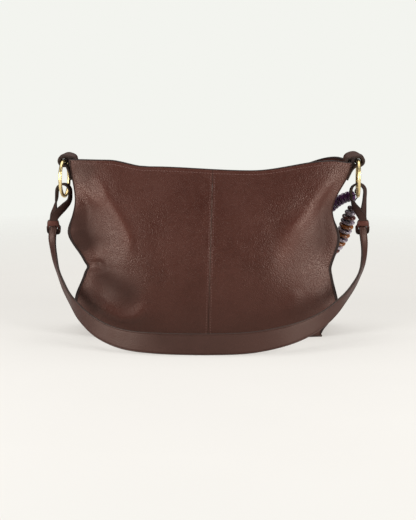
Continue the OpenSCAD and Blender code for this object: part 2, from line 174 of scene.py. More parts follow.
def leather(name, colour, grain=1.3, rough=0.5, relief=1.0):
    """Leather: pebbles of the grain, pores, patchy dye and, where the mesh attributes say so, lighter
    for wear and painted highlights, darker and rougher for painted shade, redder for a painted
    highlight, or edge-painted."""
    g = Graph(name)
    patch = g.noise(16, 4)
    mottle = g.noise(120, 3)
    pebble = g.cells(1000 / grain, "SMOOTH_F1")
    crease = g.cells(1000 / grain, "DISTANCE_TO_EDGE")
    pores = g.noise(2600, 2)
    base = g.mix(g.ranged(patch, 0, 1, 0.3, 0.7), tone(colour, 0.84), tone(colour, 1.14))
    base = g.mix(g.ranged(mottle, 0, 0.35, 0.4, 0.7), base, tone(colour, 1.25))
    base = g.mix(g.ranged(crease, 0.6, 0, 0, 0.14), base, tone(colour, 0.5))
    # Lighter for wear and painted highlights, darker for painted shade, redder for a painted highlight.
    base = g.mix(g.attribute("wear_and_highlight"), base, tone(colour, 1.25))
    base = g.mix(g.attribute("painted_shade"), base, tone(colour, 0.42))
    painted_highlight = tuple(c * more for c, more in zip(colour, PAINTED_HIGHLIGHT_TINT)) + (1,)
    base = g.mix(g.attribute("painted_highlight"), base, painted_highlight)
    base = g.mix(g.attribute("paint"), base, EDGE_BLACK)
    blotch = g.sum(patch, g.ranged(mottle, -0.2, 0.2))
    gloss = g.ranged(blotch, rough - 0.07, rough + 0.08, 0.3, 0.7)
    wrinkle = g.noise(420 / grain, 2)
    gloss = g.sum(gloss, g.ranged(g.attribute("painted_shade"), 0, 0.4))
    normal = g.bump(wrinkle, 0.0004 * relief, 0.35)
    normal = g.bump(pebble, -0.0007 * relief, 0.7, normal)
    normal = g.bump(pores, 0.00004, 0.5, normal)
    return g.finish(base, gloss, normal, {"Specular IOR Level": 0.52,
                                          "Specular Tint": (1, 0.74, 0.62, 1)})


def edge_paint(name):
    """Thick dark paint on cut edges."""
    g = Graph(name)
    base = g.mix(g.noise(900, 3), (0.007, 0.004, 0.004, 1), (0.018, 0.010, 0.009, 1))
    normal = g.bump(g.noise(1400, 3), 0.00008, 0.5)
    gloss = g.ranged(g.noise(500, 2), 0.45, 0.6)
    return g.finish(base, gloss, normal, {"Specular IOR Level": 0.3,
                                          "Specular Tint": (1, 0.8, 0.7, 1)})


def thread(name, colour):
    """Twisted thread or cord."""
    g = Graph(name)
    twist = g.waves(420, g.turned((35, 20, 30)))
    base = g.mix(twist, tone(colour, 0.7), tone(colour, 1.2))
    return g.finish(base, g.ranged(twist, 0.55, 0.75), g.bump(twist, 0.00008, 0.8))


def twill(name, colour, pitch=0.9):
    """Woven cloth with diagonal ribs and crossing threads."""
    g = Graph(name)
    ribs = g.waves(160 / pitch, g.turned((0, 45, 0)), 0.6)
    threads = g.waves(320 / pitch, g.turned((45, 0, 20)), 0.4)
    weave = g.product(ribs, g.ranged(threads, 0.6, 1))
    base = g.mix(weave, tone(colour, 0.72), tone(colour, 1.12))
    base = g.mix(g.ranged(g.noise(30, 4), 0, 0.5, 0.35, 0.7), base, tone(colour, 0.82))
    return g.finish(base, g.ranged(weave, 0.92, 0.8), g.bump(weave, 0.00012, 0.7),
                    {"Sheen Weight": 0.25, "Sheen Roughness": 0.4})


def metal(name, colour, rough):
    """Polished metal with hairlines and slight tarnish."""
    g = Graph(name)
    tarnish = g.noise(140, 4)
    hairs = g.noise(900, 3, g.turned((10, 20, 30), (1, 1, 0.08)))
    base = g.mix(g.ranged(tarnish, 0, 0.6, 0.45, 0.75), tone(colour, 1), tone(colour, 0.72))
    gloss = g.ranged(g.sum(tarnish, hairs), rough * 0.7, rough * 1.6, 0.7, 1.3)
    return g.finish(base, gloss, g.bump(hairs, 0.00003, 0.5), {"Metallic": 1.0})


def board(name, colour):
    """Fibre board."""
    g = Graph(name)
    fibres = g.noise(300, 5, g.turned((0, 0, 15), (1, 0.2, 1)))
    base = g.mix(fibres, tone(colour, 0.8), tone(colour, 1.15))
    return g.finish(base, g.ranged(fibres, 0.8, 0.95), g.bump(fibres, 0.0001, 0.6))


GLAZE_SCALE = 260


def glaze(name, low, high, spots=None):
    """Glazed ceramic bead: two tones that flow together, and speckles on the mottled ones."""
    g = Graph(name)
    flow = g.noise(GLAZE_SCALE, 4, rough=0.65)
    base = g.mix(g.ranged(flow, 0, 1, 0.36, 0.62), tone(low, 1), tone(high, 1))
    if spots:
        speck = g.ranged(g.cells(GLAZE_SCALE * 2.2), 1, 0, 0.2, 0.36)
        base = g.mix(speck, base, tone(spots, 1))
        streak = g.noise(GLAZE_SCALE * 1.4, 3, g.turned((20, 30, 0)))
        base = g.mix(g.ranged(streak, 0, 1, 0.53, 0.6), base, tone(low, 0.5))
    normal = g.bump(g.noise(400, 3), 0.00012, 0.5)
    return g.finish(base, g.ranged(flow, 0.12, 0.3), normal,
                    {"Coat Weight": 0.6, "Coat Roughness": 0.08})


LEATHER = (0.050, 0.0125, 0.0080)
STRAP_LEATHER = (0.040, 0.0130, 0.0094)
# Each skin's kind, its colours and its other settings.
SKINS = {
    "outer_leather": (leather, [LEATHER], {"grain": 1.25, "rough": 0.42}),
    "strap_leather": (leather, [STRAP_LEATHER], {"grain": 0.9, "rough": 0.48, "relief": 0.4}),
    "base_leather": (leather, [tone(LEATHER, 0.8)[:3]], {}),
    "facing_leather": (leather, [tone(LEATHER, 0.9)[:3]], {"grain": 0.8, "rough": 0.6, "relief": 0.5}),
    "lining_cloth": (twill, [(0.36, 0.26, 0.19)], {}),
    "board": (board, [(0.30, 0.22, 0.15)], {}),
    "brass": (metal, [(0.86, 0.68, 0.34)], {"rough": 0.3}),
    "zip_tape": (twill, [(0.06, 0.035, 0.03)], {"pitch": 0.6}),
    "washer_steel": (metal, [(0.55, 0.55, 0.56)], {"rough": 0.35}),
    "charm_cord": (thread, [(0.07, 0.045, 0.05)], {}),
    "bead_dark": (glaze, [(0.020, 0.010, 0.010), (0.075, 0.035, 0.035)], {}),
    "bead_mottled": (glaze, [(0.10, 0.065, 0.10), (0.55, 0.47, 0.52)], {"spots": (0.03, 0.015, 0.02)}),
    "bead_brown": (glaze, [(0.045, 0.010, 0.008), (0.13, 0.030, 0.020)], {}),
    "bead_amber": (glaze, [(0.13, 0.035, 0.010), (0.34, 0.12, 0.03)], {}),
    "bead_purple": (glaze, [(0.028, 0.007, 0.030), (0.12, 0.04, 0.13)], {}),
    "edge_paint": (edge_paint, [], {}),
    "thread": (thread, [(0.13, 0.058, 0.045)], {}),
    "tan_thread": (thread, [(0.30, 0.21, 0.15)], {}),
}
skins = {name: kind(name, *colours, **more) for name, (kind, colours, more) in SKINS.items()}


# ---------------------------------------------------------------- mesh helpers
def unit(v):
    v = np.asarray(v, float)
    return v / np.maximum(np.linalg.norm(v, axis=-1, keepdims=True), 1e-9)


def smooth_step(t):
    t = np.clip(t, 0, 1)
    return t * t * (3 - 2 * t)


def bell(x, width):
    return np.exp(-(np.asarray(x, float) / width) ** 2)


def mesh_data(name, points, faces):
    data = bpy.data.meshes.new(name)
    data.from_pydata((np.asarray(points, float) * MM).tolist(), [], [list(f) for f in faces])
    return data


def add_mesh(name, points, faces, skin, body="bag", slot=None, stands_for=(), sharp=50, marks=None):
    """A piece from points in millimetres, with its normals turned outwards. Edges sharper than
    sharp degrees stay hard, and marks are values per point that its leather reads."""
    data = mesh_data(name, points, faces)
    solid = bmesh.new()
    solid.from_mesh(data)
    bmesh.ops.recalc_face_normals(solid, faces=solid.faces)
    solid.to_mesh(data)
    solid.free()
    for mark, values in (marks or {}).items():
        layer = data.attributes.new(mark, "FLOAT", "POINT")
        layer.data.foreach_set("value", np.asarray(values, np.float32).ravel())
    data.shade_smooth()
    data.set_sharp_from_angle(angle=math.radians(sharp))
    data.materials.append(skins[skin])
    return settle(new_object(name, data), body, stands_for)


def settle(piece, body, stands_for):
    """A piece on its body and in place of the CAD nodes it stands for."""
    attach(piece, body)
    if stands_for:
        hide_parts(*stands_for)
    return piece


def closed_sheet(outer, inner):
    """A sheet with thickness between two grids of points of the same shape."""
    shift = outer[..., 0].size
    index = np.arange(shift).reshape(outer.shape[:2])
    quads = np.stack([index[:-1, :-1], index[:-1, 1:], index[1:, 1:], index[1:, :-1]], -1)
    quads = quads.reshape(-1, 4)
    faces = quads.tolist() + (quads[:, ::-1] + shift).tolist()
    edge = [*index[0, :-1], *index[:-1, -1], *index[-1, :0:-1], *index[:0:-1, 0]]
    faces += [[b, a, a + shift, b + shift] for a, b in zip(edge, edge[1:] + edge[:1])]
    return np.concatenate([outer.reshape(-1, 3), inner.reshape(-1, 3)]), faces


def tube_faces(rings, sides, closed=False):
    """Quads along rings of points, with a cap at each open end."""
    faces = []
    for i in range(rings if closed else rings - 1):
        a, b = i * sides, ((i + 1) % rings) * sides
        for j in range(sides):
            k = (j + 1) % sides
            faces.append([a + j, b + j, b + k, a + k])
    if not closed:
        faces.append(list(range(sides)))
        faces.append([(rings - 1) * sides + j for j in range(sides)][::-1])
    return faces


def rounded(width, height, corner, steps):
    """Outline of a rectangle with round corners, anticlockwise from its right side."""
    out = []
    for sx, sy, start in ((1, 1, 0), (-1, 1, 90), (-1, -1, 180), (1, -1, 270)):
        for k in range(steps + 1):
            a = math.radians(start + 90 * k / steps)
            out.append((sx * (width / 2 - corner) + corner * math.cos(a),
                        sy * (height / 2 - corner) + corner * math.sin(a)))
    return np.array(out)


def slab(outline, low, high, bevel):
    """A solid on an outline, from low to high, with bevelled edges."""
    outline = np.asarray(outline, float)
    middle = outline.mean(0)
    inner = outline - unit(outline - middle) * bevel
    levels = ((inner, low), (outline, low + bevel), (outline, high - bevel), (inner, high))
    points = [(x, y, z) for loop, z in levels for x, y in loop]
    return np.array(points), tube_faces(4, len(outline))


def holed_slab(outline, hole, low, high, bevel):
    """The same with a hole, whose outline has as many points."""
    inward = unit(hole - outline) * bevel
    levels = ((outline + inward, low), (outline, low + bevel), (outline, high - bevel),
              (outline + inward, high), (hole - inward, high), (hole, high - bevel),
              (hole, low + bevel), (hole - inward, low))
    points = [(*loop[i], z) for i in range(len(outline)) for loop, z in levels]
    return np.array(points), tube_faces(len(outline), len(levels), closed=True)


def several(parts):
    """One set of points and faces from several."""
    points, faces = [], []
    for p, f in parts:
        faces += [[i + len(points) for i in face] for face in f]
        points += p.tolist()
    return points, faces


def spline(rows, steps):
    """Catmull-Rom curve through the rows, with steps points between each two."""
    p = np.asarray(rows, float)
    out = []
    for i in range(len(p) - 1):
        a, b, c, d = p[max(i - 1, 0)], p[i], p[i + 1], p[min(i + 2, len(p) - 1)]
        for k in range(steps):
            t = k / steps
            out.append((2 * b + (c - a) * t + (2 * a - 5 * b + 4 * c - d) * t ** 2
                        + (3 * b - a - 3 * c + d) * t ** 3) / 2)
    out.append(p[-1])
    return np.array(out)


def turns(count):
    """Angles of equal steps once round."""
    return np.linspace(0, 2 * math.pi, count + 1)[:-1]


def headings(p):
    """Directions of a path at its points."""
    ahead = np.concatenate([p[1:], p[-1:]])
    behind = np.concatenate([p[:1], p[:-1]])
    return unit(ahead - behind)


def runs(p):
    """Distance along a path at each of its points."""
    return np.concatenate([[0], np.cumsum(np.linalg.norm(np.diff(p, axis=0), axis=1))])


def along(p, values, places):
    """Values of a path's points at the given distances along it."""
    s = runs(p)
    return np.stack([np.interp(places, s, values[:, k]) for k in range(values.shape[1])], -1)


# ---------------------------------------------------------------- shape of the body
BASE_W, BASE_D, RIM_H = 280, 110, 217
BELLY, MOUTH_GAP, CORNER_D = 14, 40, 18
SIDE_HALF, SEAM_LEAN, BASE_T = 48, 6, 2
FACING_H = 38
FACING = (2.8, 4.2)
LINING = (4.4, 5.2)
LEATHER_T = 1.6
# Half-width up each side, as a share of the base's.
LEFT_EDGE = [[0, 1], [0.19, 1.17], [0.385, 1.08], [0.59, 1.235], [0.765, 1.187], [1, 1.235]]
RIGHT_EDGE = [[0, 1], [0.16, 1.145], [0.375, 1.088], [0.56, 1.16], [0.72, 1.112], [1, 1.285]]
PINCHES = (2.6, 0.388, 0.02), (0.8, 0.385, 0.03)
# How far each face's rim dips, across it.
RIM_DIPS = {
    -1: [[-1, 0], [-0.74, 0.5], [-0.46, 8.5], [0.28, 13.5], [0.86, 1.5], [1, 4]],
    1: [[-1, 1], [-0.6, 9.5], [0, 18], [0.5, 15], [0.9, -2], [1, 1]],
}


def profile(rows, t):
    """Smooth steps through rows of (place, value)."""
    rows = np.asarray(rows, float)
    t = np.asarray(t, float)
    i = np.clip(np.searchsorted(rows[:, 0], t, side="right") - 1, 0, len(rows) - 2)
    k = (t - rows[i, 0]) / (rows[i + 1, 0] - rows[i, 0])
    return rows[i, 1] + (rows[i + 1, 1] - rows[i, 1]) * smooth_step(k)


def edge_x(side, h):
    """X of a side seam, whose waist is pinched a little more sharply than in the CAD."""
    wide = np.where(side < 0, profile(LEFT_EDGE, h), profile(RIGHT_EDGE, h)) * BASE_W / 2
    pinches = [depth * bell(h - place, width) for depth, place, width in PINCHES]
    return side * (wide - np.where(side < 0, *pinches))


def side_depth(h):
    """Distance of the side seams from the middle plane."""
    return SIDE_HALF - (SIDE_HALF - CORNER_D / 2) * np.clip(h, 0, None) ** 0.9


def mid_depth(h):
    """Distance of a panel's middle from the middle plane."""
    h = np.clip(h, 0, None)
    return BASE_D / 2 + BELLY * np.sin(math.pi * h) - (BASE_D - MOUTH_GAP) / 2 * h ** 1.6


def rim_z(face, u):
    """Height of a face's rim."""
    return RIM_H - profile(RIM_DIPS[face], u)


def plain_panel(face, u, h, d=0.0):
    """A place on a panel without its folds."""
    side = np.where(u < 0, -1, 1)
    mid = SEAM_LEAN * h
    x = mid + np.abs(u) * (edge_x(side, h) - side * d - mid)
    deep = side_depth(h) + (mid_depth(h) - side_depth(h)) * (1 - np.abs(u) ** 4)
    return np.stack([x, face * (deep - d), BASE_T + h * (rim_z(face, u) - BASE_T)], -1)


def panel_normal(face, u, h):
    step = 0.004
    across = plain_panel(face, u + step, h) - plain_panel(face, u - step, h)
    up = plain_panel(face, u, h + step) - plain_panel(face, u, h - step)
    return -face * unit(np.cross(across, up))


# Folds of the leather. A step has the side it falls away to, its line in x and z, its
# height and its width. A fold has its line, its height and its width on each side of it.
STEPS = {-1: [
    (-1, [(-160, 214), (-146, 200), (-133, 188), (-124, 170), (-109, 149), (-99, 131), (-95, 114),
          (-99, 92), (-109, 74), (-120, 58)], 7.5, 27),
    (1, [(172, 213), (153, 195), (138, 176), (121, 153), (104, 134), (88, 116), (79, 97), (80, 74),
         (92, 48)], 6.8, 22),
], 1: [
    (-1, [(-156, 210), (-136, 180), (-114, 150), (-98, 118), (-106, 78)], 7, 30),
    (1, [(178, 212), (156, 184), (132, 156), (110, 122), (98, 82)], 6.5, 30),
]}
FOLDS = {-1: [
    ([(-150, 204), (-133, 188), (-124, 170), (-109, 149), (-99, 131), (-95, 114), (-99, 94)],
     1.5, 8, 5),
    ([(-163, 176), (-159, 156), (-151, 134), (-140, 114), (-131, 98)], -3.2, 13, 20),
    ([(-176, 140), (-168, 126), (-162, 115), (-151, 102), (-136, 92)], 3.4, 7, 8),
    ([(-170, 198), (-156, 182), (-140, 169), (-122, 164)], 2.6, 9, 7),
    ([(-160, 87), (-150, 88), (-140, 90), (-126, 88)], -2.6, 4.5, 4.5),
    ([(-164, 48), (-157, 66), (-147, 79), (-134, 84)], 2.4, 7, 8),
    ([(-134, 80), (-130, 62), (-138, 42)], -3.0, 11, 14),
    ([(-152, 50), (-128, 37), (-106, 27), (-86, 31), (-72, 46)], 5.2, 9, 7.5),
    ([(166, 206), (151, 191), (137, 174), (120, 151), (103, 132), (88, 115)], 2.2, 10, 10),
    ([(150, 112), (146, 84), (138, 56), (126, 40)], 1.0, 16, 18),
    ([(110, 62), (104, 44), (92, 34)], 1.6, 10, 10),
    ([(-60, 196), (-30, 120), (-46, 40)], 0.8, 26, 26),
    ([(64, 190), (52, 110), (66, 40)], 0.8, 26, 26),
], 1: [
    ([(-150, 204), (-134, 180), (-112, 151), (-97, 122)], 1.8, 10, 7),
    ([(-158, 84), (-138, 87), (-112, 96)], -3.0, 7, 8),
    ([(-170, 134), (-156, 112), (-134, 96)], 2.2, 7, 10),
    ([(-120, 48), (-98, 34), (-72, 38)], 2.2, 9, 9),
    ([(168, 202), (150, 180), (128, 154), (108, 122)], 1.8, 10, 10),
    ([(158, 84), (136, 90), (116, 100)], -2.0, 8, 10),
    ([(120, 54), (100, 38), (78, 36)], 2.0, 10, 10),
    ([(20, 190), (44, 120), (30, 50)], 0.9, 28, 28),
]}
# Painted shade along the valleys and painted highlights along the ridges of the front, in the form of
# folds.
FRONT_VALLEY_SHADES = [
    ([(-175, 160), (-169, 148), (-160, 131), (-151, 114), (-141, 98)], 0.85, 15, 18),
    ([(-172, 212), (-156, 206), (-138, 196)], 0.4, 14, 14),
    ([(-166, 132), (-160, 116), (-150, 102)], 0.5, 9, 9),
    ([(-150, 84), (-132, 76), (-112, 66), (-94, 56), (-78, 52)], 0.75, 18, 16),
    ([(-160, 60), (-148, 40), (-134, 28)], 0.5, 10, 12),
    ([(160, 176), (152, 150), (146, 122), (148, 96)], 0.45, 14, 15),
]
FRONT_RIDGE_HIGHLIGHTS = [
    ([(-150, 204), (-133, 188), (-124, 170), (-109, 149), (-99, 131), (-96, 114), (-100, 96)],
     0.9, 9, 4),
    ([(-168, 190), (-154, 176), (-138, 168), (-120, 162)], 0.9, 9, 9),
    ([(-138, 44), (-120, 36), (-106, 31), (-88, 35), (-74, 48)], 1.0, 9, 8),
    ([(176, 206), (157, 188), (141, 169), (124, 149), (109, 131), (97, 112), (90, 92), (88, 68)],
     1.1, 11, 12),
]


CREST = 6


def faded(place, start, end):
    """1 along a line, and none at its ends, over the given shares of it."""
    return smooth_step(place / start) * smooth_step((1 - place) / end)


def step_height(step, x, z):
    """Depth of a step, whose crest is rounded over about CREST."""
    side, line, height, width = step
    line = spline(line, 8)[::-1]
    slant = np.gradient(line[:, 0], line[:, 1])
    off = (x - np.interp(z, line[:, 1], line[:, 0])) * side
    off = off / np.sqrt(1 + np.interp(z, line[:, 1], slant) ** 2)
    off = (off + np.sqrt(off ** 2 + CREST ** 2)) / 2
    place = (line[-1, 1] - z) / (line[-1, 1] - line[0, 1])
    return -height * (1 - np.exp(-(off / width) ** 1.6)) * faded(place, 0.25, 0.4)


def fold_height(fold, x, z):
    """Height of a fold at the nearest place of its line."""
    line, height, left, right = fold
    line = spline(line, 6)
    near = np.full(x.shape, 1e9)
    side = np.zeros(x.shape)
    place = np.zeros(x.shape)
    for i in range(len(line) - 1):
        a, run = line[i], line[i + 1] - line[i]
        t = np.clip(((x - a[0]) * run[0] + (z - a[1]) * run[1]) / (run @ run), 0, 1)
        dx, dz = x - a[0] - t * run[0], z - a[1] - t * run[1]
        gap = np.hypot(dx, dz)
        closer = gap < near
        near = np.where(closer, gap, near)
        side = np.where(closer, run[0] * dz - run[1] * dx, side)
        place = np.where(closer, (i + t) / (len(line) - 1), place)
    width = np.where(side < 0, left, right)
    return height * bell(near, width) * faded(place, 0.3, 0.3)


def folds(face, u, h):
    """How far the leather stands out from its plain shape, none at the side seams."""
    p = plain_panel(face, u, h)
    x, z = p[..., 0], p[..., 2]
    total = sum(step_height(step, x, z) for step in STEPS[face])
    total = total + sum(fold_height(fold, x, z) for fold in FOLDS[face])
    total = total + 0.5 * np.sin(x / 21 + z / 33 + face) * np.sin(z / 24 - x / 52)
    total = total + 0.25 * np.sin(x / 9.5 - z / 12 + 2) * np.sin(z / 10 + x / 15)
    side = smooth_step((1 - np.abs(u)) / 0.11)
    foot = smooth_step(h / 0.1)
    head = 1 - 0.75 * smooth_step((h - 0.86) / 0.14)
    seam = np.abs(x - SEAM_LEAN * h)
    groove = -0.45 * bell(seam, 0.9)
    return total * side * foot * head + groove * (1 - smooth_step((h - 0.965) / 0.02))


def panel(face, u, h, d=0.0):
    """A place on a folded panel."""
    u, h = np.broadcast_arrays(np.asarray(u, float), np.asarray(h, float))
    lift = folds(face, u, h)[..., None]
    return plain_panel(face, u, h, d) + panel_normal(face, u, h) * lift


def gusset(side, w, h, d, margin=0):
    """A place on a gusset, with w from -1 at its front to 1 at its rear."""
    w, h = np.broadcast_arrays(np.asarray(w, float), np.asarray(h, float))
    bow = np.where(h < 0.5, 3, 6) * np.sin(2 * math.pi * h) * (1 - w ** 2)
    crumple = 0.9 * np.sin(h * 31 + side) * np.sin(w * 2.6 + h * 9) * (1 - w ** 2) ** 2
    crumple = crumple - 1.6 * bell(h - 0.39, 0.035) * (1 - w ** 4)
    rim = (rim_z(-1, side) * (1 - w) + rim_z(1, side) * (1 + w)) / 2 - 4 * (1 - w ** 2)
    x = edge_x(side, h) - side * d + side * (bow + crumple * smooth_step(h / 0.1))
    return np.stack([x, w * (side_depth(h) - d - margin), BASE_T + h * (rim - BASE_T)], -1)


def grid(law, across, up, *extra):
    """Points of a surface law over all pairs of up and across."""
    return law(across[None, :], up[:, None], *extra)


def sheet(law, across, up, depths, *extra):
    """A closed sheet of a surface law between two depths."""
    return closed_sheet(*[grid(law, across, up, d, *extra) for d in depths])


# ---------------------------------------------------------------- charm, the first piece made
CORD_D = 1.6
CHARM_ROUTE = [
    (189, 14, 172), (186, 18, 170), (179, 24, 167.5), (172, 30, 164), (165.5, 35.5, 159),
    (159.5, 40.5, 152.5), (154, 45, 144), (149.5, 48, 134), (146, 50, 123), (144, 52, 112),
    (144.5, 53, 101), (148.5, 51, 93), (155, 47, 92), (161, 41.5, 97), (167, 36, 105),
    (172, 31, 114), (176, 27, 124), (179, 23, 135), (181.5, 20, 146), (184, 17.5, 156),
    (187.5, 15.5, 164), (192, 14, 170),
]
BEAD_R, BEAD_T, PURPLE_R, BEAD_HOLE_R = 9.4, 4.6, 7.0, 1.25
FIRST_BEAD, BEAD_PITCH = 19.5, 6.1
PURPLE_FIRST, PURPLE_PITCH, PURPLE_COUNT = 9, 5.9, 7
BEAD_ORDER = ["dark", "mottled", "brown"] + ["mottled", "amber"] * 3 + ["mottled", "brown", "mottled"]


def add_cord(name, points, stands_for=(), closed=False):
    """The charm's cord along points."""
    data = bpy.data.curves.new(name, "CURVE")
    data.dimensions = "3D"
    data.bevel_depth = CORD_D / 2 * MM
    data.bevel_resolution = 4
    data.use_fill_caps = True
    line = data.splines.new("POLY")
    line.points.add(len(points) - 1)
    for spot, p in zip(line.points, points):
        spot.co = (p[0] * MM, p[1] * MM, p[2] * MM, 1)
    line.use_cyclic_u = closed
    data.materials.append(skins["charm_cord"])
    return settle(new_object(name, data), "charm", stands_for)


def lathe(outline, sides, wobble=0.0):
    """Points and faces of a closed outline of (r, z) turned round z, slightly out of round."""
    phase = chance.uniform(0, 2 * math.pi, 2)
    points, rings = [], len(outline)
    for k in range(sides):
        a = 2 * math.pi * k / sides
        swell = 1 + wobble * (math.sin(2 * a + phase[0]) + 0.5 * math.sin(3 * a + phase[1]))
        for r, z in outline:
            points.append((r * swell * math.cos(a), r * swell * math.sin(a), z))
    return np.array(points), tube_faces(sides, rings, closed=True)


def bead_outline(r):
    """A plump disc with a hole for the cord."""
    half, lip = BEAD_T / 2, BEAD_HOLE_R + 0.5
    out = [(BEAD_HOLE_R, -half * 0.8), (BEAD_HOLE_R, half * 0.8), (lip, half)]
    for k in range(1, 12):
        a = math.pi / 2 - math.pi * k / 12
        height = math.copysign(abs(math.sin(a)) ** 0.8, a)
        out.append((lip + (r - lip) * abs(math.cos(a)) ** 0.42, half * height))
    out.append((lip, -half))
    return out


def add_bead(name, spot, heading, r, kind):
    points, faces = lathe(bead_outline(r), 36, 0.012)
    z = unit(heading)
    x = unit(np.cross((0.3, 1, 0.1), z))
    points = points @ np.stack([x, np.cross(z, x), z]) + spot
    return add_mesh(name, points, faces, "bead_" + kind, "charm", stands_for=["beads_" + kind],
                    sharp=80)


def add_charm():
    """The charm: its cord, twelve beads in a row and seven purple ones."""
    route = spline(CHARM_ROUTE, 3)
    length = runs(route)[-1]

    def put(name, s, r, kind):
        spot, ahead, behind = (along(route, route, [s + k])[0] for k in (0, 1, -1))
        return add_bead(name, spot, ahead - behind, r, kind)

    cord = add_cord("charm_string", spline(CHARM_ROUTE, 6), ["charm_cord"])
    for i, kind in enumerate(BEAD_ORDER):
        r = BEAD_R * min(1, 0.55 + 0.2 * i)
        put(f"bead_{i:02d}", length - FIRST_BEAD - i * BEAD_PITCH, r, kind)
    for i in range(PURPLE_COUNT):
        put(f"purple_bead_{i}", PURPLE_FIRST + i * PURPLE_PITCH, PURPLE_R, "purple")


add_charm()

# ---------------------------------------------------------------- outside leather
SIDES = {"left": -1, "right": 1}
FACES = {"front": -1, "rear": 1}
UP = np.concatenate([np.linspace(0, 0.03, 5)[:-1], np.linspace(0.03, 0.96, 116),
                     np.linspace(0.965, 1, 10)])


def seam_marks(face, u, h):
    """Painted shade along the seams, at the base, towards the bottom and in the front's valleys;
    lighter along the rim and side seams, and painted highlights on the front's ridges.
    """
    # Painted shade at the side seams, in the centre seam's groove, along the base and, growing, towards
    # the bottom.
    painted_shade = 0.5 * bell(1 - np.abs(u), 0.012) + 0.6 * bell(u, 0.0024)
    painted_shade = painted_shade + 0.45 * bell(h, 0.02) + 0.3 * smooth_step((0.4 - h) / 0.4)
    # Lighter along the rim and just inside the side seams.
    wear_and_highlight = 0.35 * bell(h - 1, 0.02) + 0.25 * bell(np.abs(u) - 0.985, 0.01)
    if face < 0:
        p = plain_panel(face, u, h)
        # Painted shade along the front's valleys and painted highlights along its ridges.
        painted_shade = painted_shade + sum(fold_height(line, p[..., 0], p[..., 2]) for line in FRONT_VALLEY_SHADES)
        wear_and_highlight = wear_and_highlight + sum(fold_height(line, p[..., 0], p[..., 2]) for line in FRONT_RIDGE_HIGHLIGHTS)
    return {"painted_shade": np.tile(painted_shade.ravel(), 2), "wear_and_highlight": np.tile(wear_and_highlight.ravel(), 2)}


def add_panel(face_name, side_name):
    """An outside panel, from the groove of the centre seam to a side seam."""
    law, side = partial(panel, FACES[face_name]), SIDES[side_name]
    across = side * np.concatenate([np.linspace(0.0012, 0.045, 14)[:-1], np.linspace(0.045, 1, 110)])
    marks = seam_marks(FACES[face_name], across[None, :], UP[:, None])
    add_mesh(f"{face_name}_leather_{side_name}", *sheet(law, across, UP, (0, LEATHER_T)),
             "outer_leather", marks=marks, stands_for=[f"{face_name}_panel_{side_name}"])


def add_gusset(side_name):
    law, across = partial(gusset, SIDES[side_name]), np.linspace(-1, 1, 57)
    # Painted shade along the gusset's front and rear seams, where it turns in under the panels.
    painted_shade = 0.6 * bell(1 - np.abs(across), 0.08)
    add_mesh(f"gusset_leather_{side_name}", *sheet(law, across, UP, (0, LEATHER_T)),
             "outer_leather", marks={"painted_shade": np.tile(painted_shade, 2 * len(UP))},
             stands_for=["gusset_" + side_name])


SEAM_SLANT, SEAM_EDGE_HALF = 0.55, 1.45
SEAM_PROUD, SEAM_TURN, TURN_H = 2.3, 3.1, 0.58


def add_seam_edge(face_name, side_name):
    """The raw edge of a side seam, standing proud and painted, turned back near the top."""
    face, side = FACES[face_name], SIDES[side_name]
    h = np.linspace(0.01, 0.995, 120)
    spine = panel(face, side, h)
    out = unit([side, SEAM_SLANT * face, 0])
    wide = unit([SEAM_SLANT * face * side, -1, 0]) * SEAM_EDGE_HALF
    proud = SEAM_PROUD - SEAM_TURN * smooth_step((h - TURN_H) / 0.12)
    proud = proud * (0.45 + 0.55 * smooth_step(h / 0.06))
    ring = [(math.cos(a), max(math.sin(a), 0) ** 0.6) for a in math.pi * np.arange(10) / 9]
    points = [p + wide * c + out * (lift * s - 0.5 * (1 - s)) for p, lift in zip(spine, proud)
              for c, s in ring]
    add_mesh(f"seam_edge_{face_name}_{side_name}", points, tube_faces(len(spine), len(ring)),
             "edge_paint", slot="outer_leather", sharp=60)


def rim_strip(name, outer, inner, height, sink):
    """A painted edge over the top of a rim, from its outer line to its inner line."""
    arc = [(-1, -sink), (-1.03, -0.2), (-0.9, 0.45), (-0.55, 0.85), (0, 1)]
    arc += [(-c, s) for c, s in arc[-2::-1]]
    points = [m + k * c + (0, 0, height * s) for m, k in zip((outer + inner) / 2, (inner - outer) / 2)
              for c, s in arc]
    add_mesh(name, points, tube_faces(len(outer), len(arc)), "edge_paint", slot="outer_leather")


def add_rims():
    """Painted edges over the leather and facing of the faces, and of the gussets."""
    across = np.linspace(-1, 1, 181)
    for name, face in FACES.items():
        edges = [panel(face, across, 1, d) for d in (-0.1, FACING[1] + 0.1)]
        rim_strip(f"{name}_rim_edge", *edges, 0.8, 1.6)
    for name, side in SIDES.items():
        edges = [gusset(side, across * 0.97, 1, d) for d in (-0.1, LEATHER_T + 0.1)]
        rim_strip(f"{name}_gusset_edge", *edges, 0.6, 1.2)


def loft(steps):
    """A closed solid from outlines of the base, given as rows of inset and height."""
    across = np.linspace(-1, 1, 61)
    points = []
    for inset, z in steps:
        for face in FACES.values():
            loop = plain_panel(face, -face * across, np.zeros(across.shape), inset)
            points += [(x, y, z) for x, y, _ in loop]
    return points, tube_faces(len(steps), 2 * len(across))


def add_base():
    """The base panel, which stands a little beyond the side walls with a painted edge."""
    steps = ((12, 0.0), (-0.7, 0.0), (-1.35, 0.35), (-1.5, 0.8), (-1.5, 1.5), (-1.2, 1.9),
             (-0.5, 2.0), (12, 2.0))
    points, faces = loft(steps)
    paint = np.repeat([0, 0.2, 0.8, 1, 1, 0.8, 0.3, 0], len(points) // len(steps))
    add_mesh("base_leather_panel", points, faces, "base_leather", stands_for=["base_panel"],
             marks={"paint": paint})


STITCH_SIDES, STITCH_SINK = 6, 0.1
# Rows along a stitch: the place in lengths, the swell, and the rise in widths.
STITCH_ROWS = ((-0.5, 0.25, -0.5), (-0.42, 0.75, -0.15), (-0.2, 1, 0.12), (0.2, 1, 0.12),
               (0.42, 0.75, -0.15), (0.5, 0.25, -0.5))


